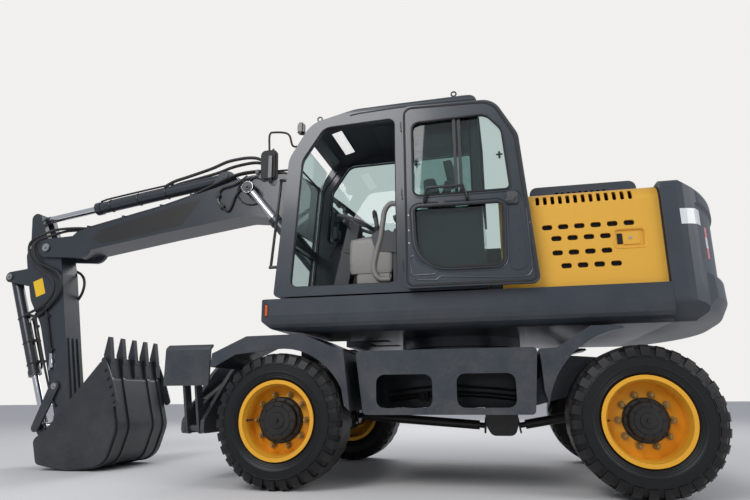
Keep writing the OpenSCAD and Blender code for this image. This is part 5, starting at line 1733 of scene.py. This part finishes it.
    def stick_hoses(self) -> None:
        """Hoses that loop from the boom's pipes past the stick's pin to its cylinder."""
        arm, stick = self.lay.boom, self.lay.stick
        loops = (
            ("left_outer", 0.143, [(3.8, 0.262), (3.96, 0.24), (4.1, 0.205)],
             [(-0.146, 0.066, 0.2), (-0.092, 0.175, 0.2), (0.021, 0.194, 0.2), (0.139, 0.156, 0.2),
              (0.278, 0.039, 0.2), (0.391, -0.06, 0.195), (0.498, -0.075, 0.19), (0.585, -0.02, 0.18),
              (0.645, 0.09, 0.165), (0.668, 0.24, 0.14), (0.672, 0.38, 0.105)]),
            ("left_inner", 0.109, [(3.8, 0.248), (3.95, 0.222), (4.08, 0.175)],
             [(-0.115, 0.07, 0.175), (-0.06, 0.145, 0.17), (0.03, 0.16, 0.17), (0.15, 0.105, 0.17),
              (0.25, -0.03, 0.165), (0.345, -0.125, 0.16), (0.453, -0.14, 0.155), (0.55, -0.105, 0.15),
              (0.639, -0.01, 0.15), (0.72, 0.14, 0.145), (0.75, 0.29, 0.11)]),
            ("right", -0.143, [(3.8, 0.262), (3.96, 0.23), (4.08, 0.16)],
             [(-0.08, 0.06, -0.18), (0.05, 0.06, -0.185), (0.2, -0.05, -0.17), (0.3, -0.17, -0.14),
              (0.4, -0.235, -0.1), (0.5, -0.225, -0.09), (0.58, -0.14, -0.12), (0.66, 0.0, -0.138),
              (0.74, 0.16, -0.13), (0.78, 0.3, -0.1)]))
        for name, y, on_boom, on_stick in loops:
            path = along(arm.p, [(3.66, 0.272), *on_boom], y) + along(stick.p, on_stick)
            hose = Form(f"stick_hose_{name}").tube(path, 0.0145, 12, 0.018, ribs=0.05)
            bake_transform(hose.done(Finishes.hose, ""), "boom", "stick",
                     start=arm.p(4.0, 0.2, 0), end=stick.p(0.35, 0.0, 0))

    def cylinder_lines(self) -> None:
        """Pipes and bands on the cylinders' barrels."""
        low, high = self.bucket_cylinder, self.stick_cylinder
        feed = Form("bucket_cylinder_lines")
        run = ((0.56, -0.075), (0.7, -0.066), (1.06, -0.066), (1.12, -0.05, 0.04))
        for s in Side:
            feed.tube(along(low.p, run, 0.045, s.value), self.pipe, 10, 0.03)
            feed.bar(*along(low.p, ((0.545, -0.075), (0.6, -0.075)), s.value * 0.045), 0.018, 6, 0.002)
        feed.done(Finishes.rail, "bucket_barrel")
        bands = Form("bucket_cylinder_bands")
        for u in (0.5, 0.8, 1.05):
            bands.ring(low.p(u, 0), low.p(1, 0) - low.start, 0.0605, 0.006, 40)
            bands.block(low.p(u, -0.075), (0.03, 0.062, 0.014), 0.004)
        bands.done(Finishes.rail, "bucket_barrel")
        pipe = Form("stick_cylinder_line")
        run = ((0.66, 0.073), (0.8, 0.08), (1.5, 0.08), (1.57, 0.06, 0.025))
        for s in Side:
            pipe.tube(along(high.p, run, 0.03, s.value), 0.011, 10, 0.03)
        pipe.done(Finishes.rail, "stick_barrel")
        bands = Form("stick_cylinder_bands")
        for u in (0.75, 1.1, 1.45):
            bands.ring(high.p(u, 0), self.stick_eye - high.start, 0.0675, 0.006, 40)
        bands.done(Finishes.rail, "stick_barrel")

    def stick_lines(self) -> None:
        """Pipes down the stick's sides with their clamps, and a ball valve on each side."""
        stick = self.lay.stick
        pipes = Form("stick_pipes")
        joints = Form("stick_pipe_joints")
        valve = Form("ball_valve")
        upper = ((0.7, 0.215), (0.78, 0.22), (1.3, 0.155), (1.7, 0.085), (1.745, 0.05))
        lower = ((0.66, 0.1), (0.75, 0.082), (1.19, 0.062))
        for s in Side:
            y = s.value * 0.134
            pipes.tube(along(stick.p, upper, y), self.pipe, 10, 0.04)
            pipes.tube(along(stick.p, lower, y), 0.0125, 10)
            for u, v in ((0.77, 0.08), (1.15, 0.063)):
                joints.bar(stick.p(u - 0.02, v, y), stick.p(u + 0.02, v, y), 0.021, 6, 0.002)
                joints.block(stick.p(u, v, s.value * 0.118), (0.05, 0.004, 0.012), 0.002)
            for u, v in ((0.85, 0.21), (1.25, 0.162), (1.6, 0.108)):
                joints.block(stick.p(u, v, s.value * 0.133), (0.022, 0.0135, 0.014), 0.003)
            y = s.value * 0.138
            for a, b, r, sides, bevel in (((1.19, 0.062), (1.25, 0.064), 0.017, 6, 0.002),
                                          ((1.25, 0.064), (1.3, 0.066), 0.022, 20, 0.006),
                                          ((1.3, 0.066), (1.34, 0.067), 0.0165, 6, 0.002)):
                valve.bar(stick.p(*a, y), stick.p(*b, y), r, sides, bevel)
            spot = stick.p(1.275, 0.07, y)
            valve.box(spot - Vector((0.005, 0.006, 0.09)), spot + Vector((0.012, 0.012, 0.012)), 0.004)
        pipes.done(Finishes.rail, "stick")
        joints.done(Finishes.rail, "stick")
        valve.done(Finishes.chrome, "stick")

    def signs(self) -> None:
        """Blank yellow plates on the stick's sides, and caps with bolts at its pins."""
        stick = self.lay.stick
        plate = Form("stick_plate_sign")
        caps = Form("pin_caps")
        for s in Side:
            plate.prism([(0.33, 0.235), (0.315, 0.117), (0.5, 0.094), (0.515, 0.212)], stick.p,
                        *s.span(0.12, 0.0005, 0.001))
        pins = ((0.0, 0.0, 0.046, 0.177), (0.173, 0.553, 0.036, 0.102), (1.542, 0.048, 0.034, 0.146))
        for u, v, r, y in pins:
            for s in Side:
                face = stick.p(u, v, s.value * (y + 0.008))
                caps.bar(stick.p(u, v, s.value * (y - 0.006)), face, r, 28, 0.004).hex(face, s.out, 0.012)
        plate.done(Finishes.yellow_sign, "stick")
        caps.done(Finishes.steel_bolt, "stick")

    def bucket_bolts(self) -> None:
        """Bolts of the bucket's side cutters."""
        bolts = Form("side_cutter_bolts")
        for s in Side:
            for u, v in ((0.735, 0.425), (0.762, 0.365), (0.787, 0.285), (0.812, 0.205), (0.838, 0.12)):
                bolts.hex(self.lay.bucket.p(u, v, s.value * 0.462), s.out, 0.017, 0.014)
        bolts.done(Finishes.bucket, "bucket")


@dataclass
class Studio:
    """Floor, light and camera."""

    lay: Layout
    eye: tuple[float, float, float] = (-0.414, 5.564, 0.665)
    yaw: float = math.radians(12.46)
    pitch: float = math.radians(14.12)
    roll: float = math.radians(-0.41)
    lens: float = 28.05
    floor: float = 60.0

    def build(self) -> None:
        """Sets up the view, the floor, the world and the lamps."""
        bpy.context.scene.view_settings.view_transform = "Standard"
        self.camera()
        self.ground()
        self.sky()
        self.lamp("key_lamp", (3.5, 9.0, 7.5), 5.0, 520.0)
        self.lamp("fill_lamp", (-8.0, 5.0, 5.0), 5.0, 260.0)
        self.lamp("rear_lamp", (2.0, -9.0, 7.0), 6.0, 380.0)

    @staticmethod
    def put(name: str, data: bpy.types.ID, matrix: Matrix | None = None) -> bpy.types.Object:
        """Adds an object to the scene.

        Args:
            name: Its name.
            data: Its mesh, camera or lamp.
            matrix: Its place, where it isn't the origin.

        Returns:
            The object.
        """
        thing = bpy.data.objects.new(name, data)
        if matrix is not None:
            thing.matrix_world = matrix
        bpy.context.scene.collection.objects.link(thing)
        return thing

    def camera(self) -> None:
        """Camera at the photograph's view, close to the floor and looking up."""
        flat = math.cos(self.pitch)
        ahead = Vector((math.sin(self.yaw) * flat, -math.cos(self.yaw) * flat, math.sin(self.pitch)))
        right = ahead.cross(Vector((0, 0, 1))).normalized()
        up = right.cross(ahead)
        c, s = math.cos(self.roll), math.sin(self.roll)
        turned = Matrix((c * right + s * up, c * up - s * right, -ahead)).transposed()
        data = bpy.data.cameras.new("view")
        data.lens = self.lens
        data.sensor_width = 36.0
        view = Matrix.Translation(self.lay.at(*self.eye)) @ turned.to_4x4()
        bpy.context.scene.camera = self.put("view", data, view)

    def ground(self) -> None:
        """Pale floor under the wheels."""
        r = self.floor
        data = bpy.data.meshes.new("floor")
        data.from_pydata([(-r, -r, 0), (r, -r, 0), (r, r, 0), (-r, r, 0)], [], [(0, 1, 2, 3)])
        shade = Shade("floor_paper")
        shade.set(Base_Color=(0.72, 0.71, 0.7), Roughness=0.9)
        data.materials.append(shade.material)
        self.put("floor", data)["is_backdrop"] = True

    def sky(self) -> None:
        """Plain world: pale to the camera and through glass, dimmer as light."""
        world = bpy.data.worlds.new("studio")
        world.use_nodes = True
        bpy.context.scene.world = world
        tree = world.node_tree
        tree.nodes.clear()
        out, mix, path, most = (tree.nodes.new(f"ShaderNode{kind}")
                                for kind in ("OutputWorld", "MixShader", "LightPath", "Math"))
        most.operation = "MAXIMUM"
        for k, kind in enumerate(("Camera", "Transmission")):
            tree.links.new(path.outputs[f"Is {kind} Ray"], most.inputs[k])
        tree.links.new(most.outputs[0], mix.inputs[0])
        for k, (colour, strength) in enumerate((((0.86, 0.9, 1.0), 0.5), ((0.93, 0.92, 0.9), 0.95))):
            glow = tree.nodes.new("ShaderNodeBackground")
            glow.inputs["Color"].default_value = (*colour, 1.0)
            glow.inputs["Strength"].default_value = strength
            tree.links.new(glow.outputs[0], mix.inputs[k + 1])
        tree.links.new(mix.outputs[0], out.inputs["Surface"])

    def lamp(self, name: str, place: tuple[float, float, float], size: float, power: float) -> None:
        """Square soft lamp that faces the machine and isn't seen through glass.

        Args:
            name: The lamp's name.
            place: Its place, from the turning centre.
            size: Its width.
            power: Its power in watts.
        """
        data = bpy.data.lights.new(name, "AREA")
        data.size = size
        data.energy = power
        spot = self.lay.at(*place)
        turned = (self.lay.at(0.6, 0.0, 1.2) - spot).to_track_quat("-Z", "Y").to_matrix().to_4x4()
        self.put(name, data, Matrix.Translation(spot) @ turned).visible_transmission = False


def corners(box: tuple[Vector, Vector]) -> list[list[float]]:
    """A box's corners as plain numbers."""
    return [[round(v, 5) for v in corner] for corner in box]


def main() -> None:
    """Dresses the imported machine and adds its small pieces."""
    logging.basicConfig(level=logging.INFO, format="%(message)s")
    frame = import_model()
    solid = corners(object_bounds())
    layout = Layout(frame)
    Studio(layout).build()
    for part in (Wheels, Undercarriage, Deck, Hood, Cab, Door, WorkingArm):
        part(layout).build()
    {"solid": solid, "dressed": corners(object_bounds())}


if __name__ == "__main__":
    main()
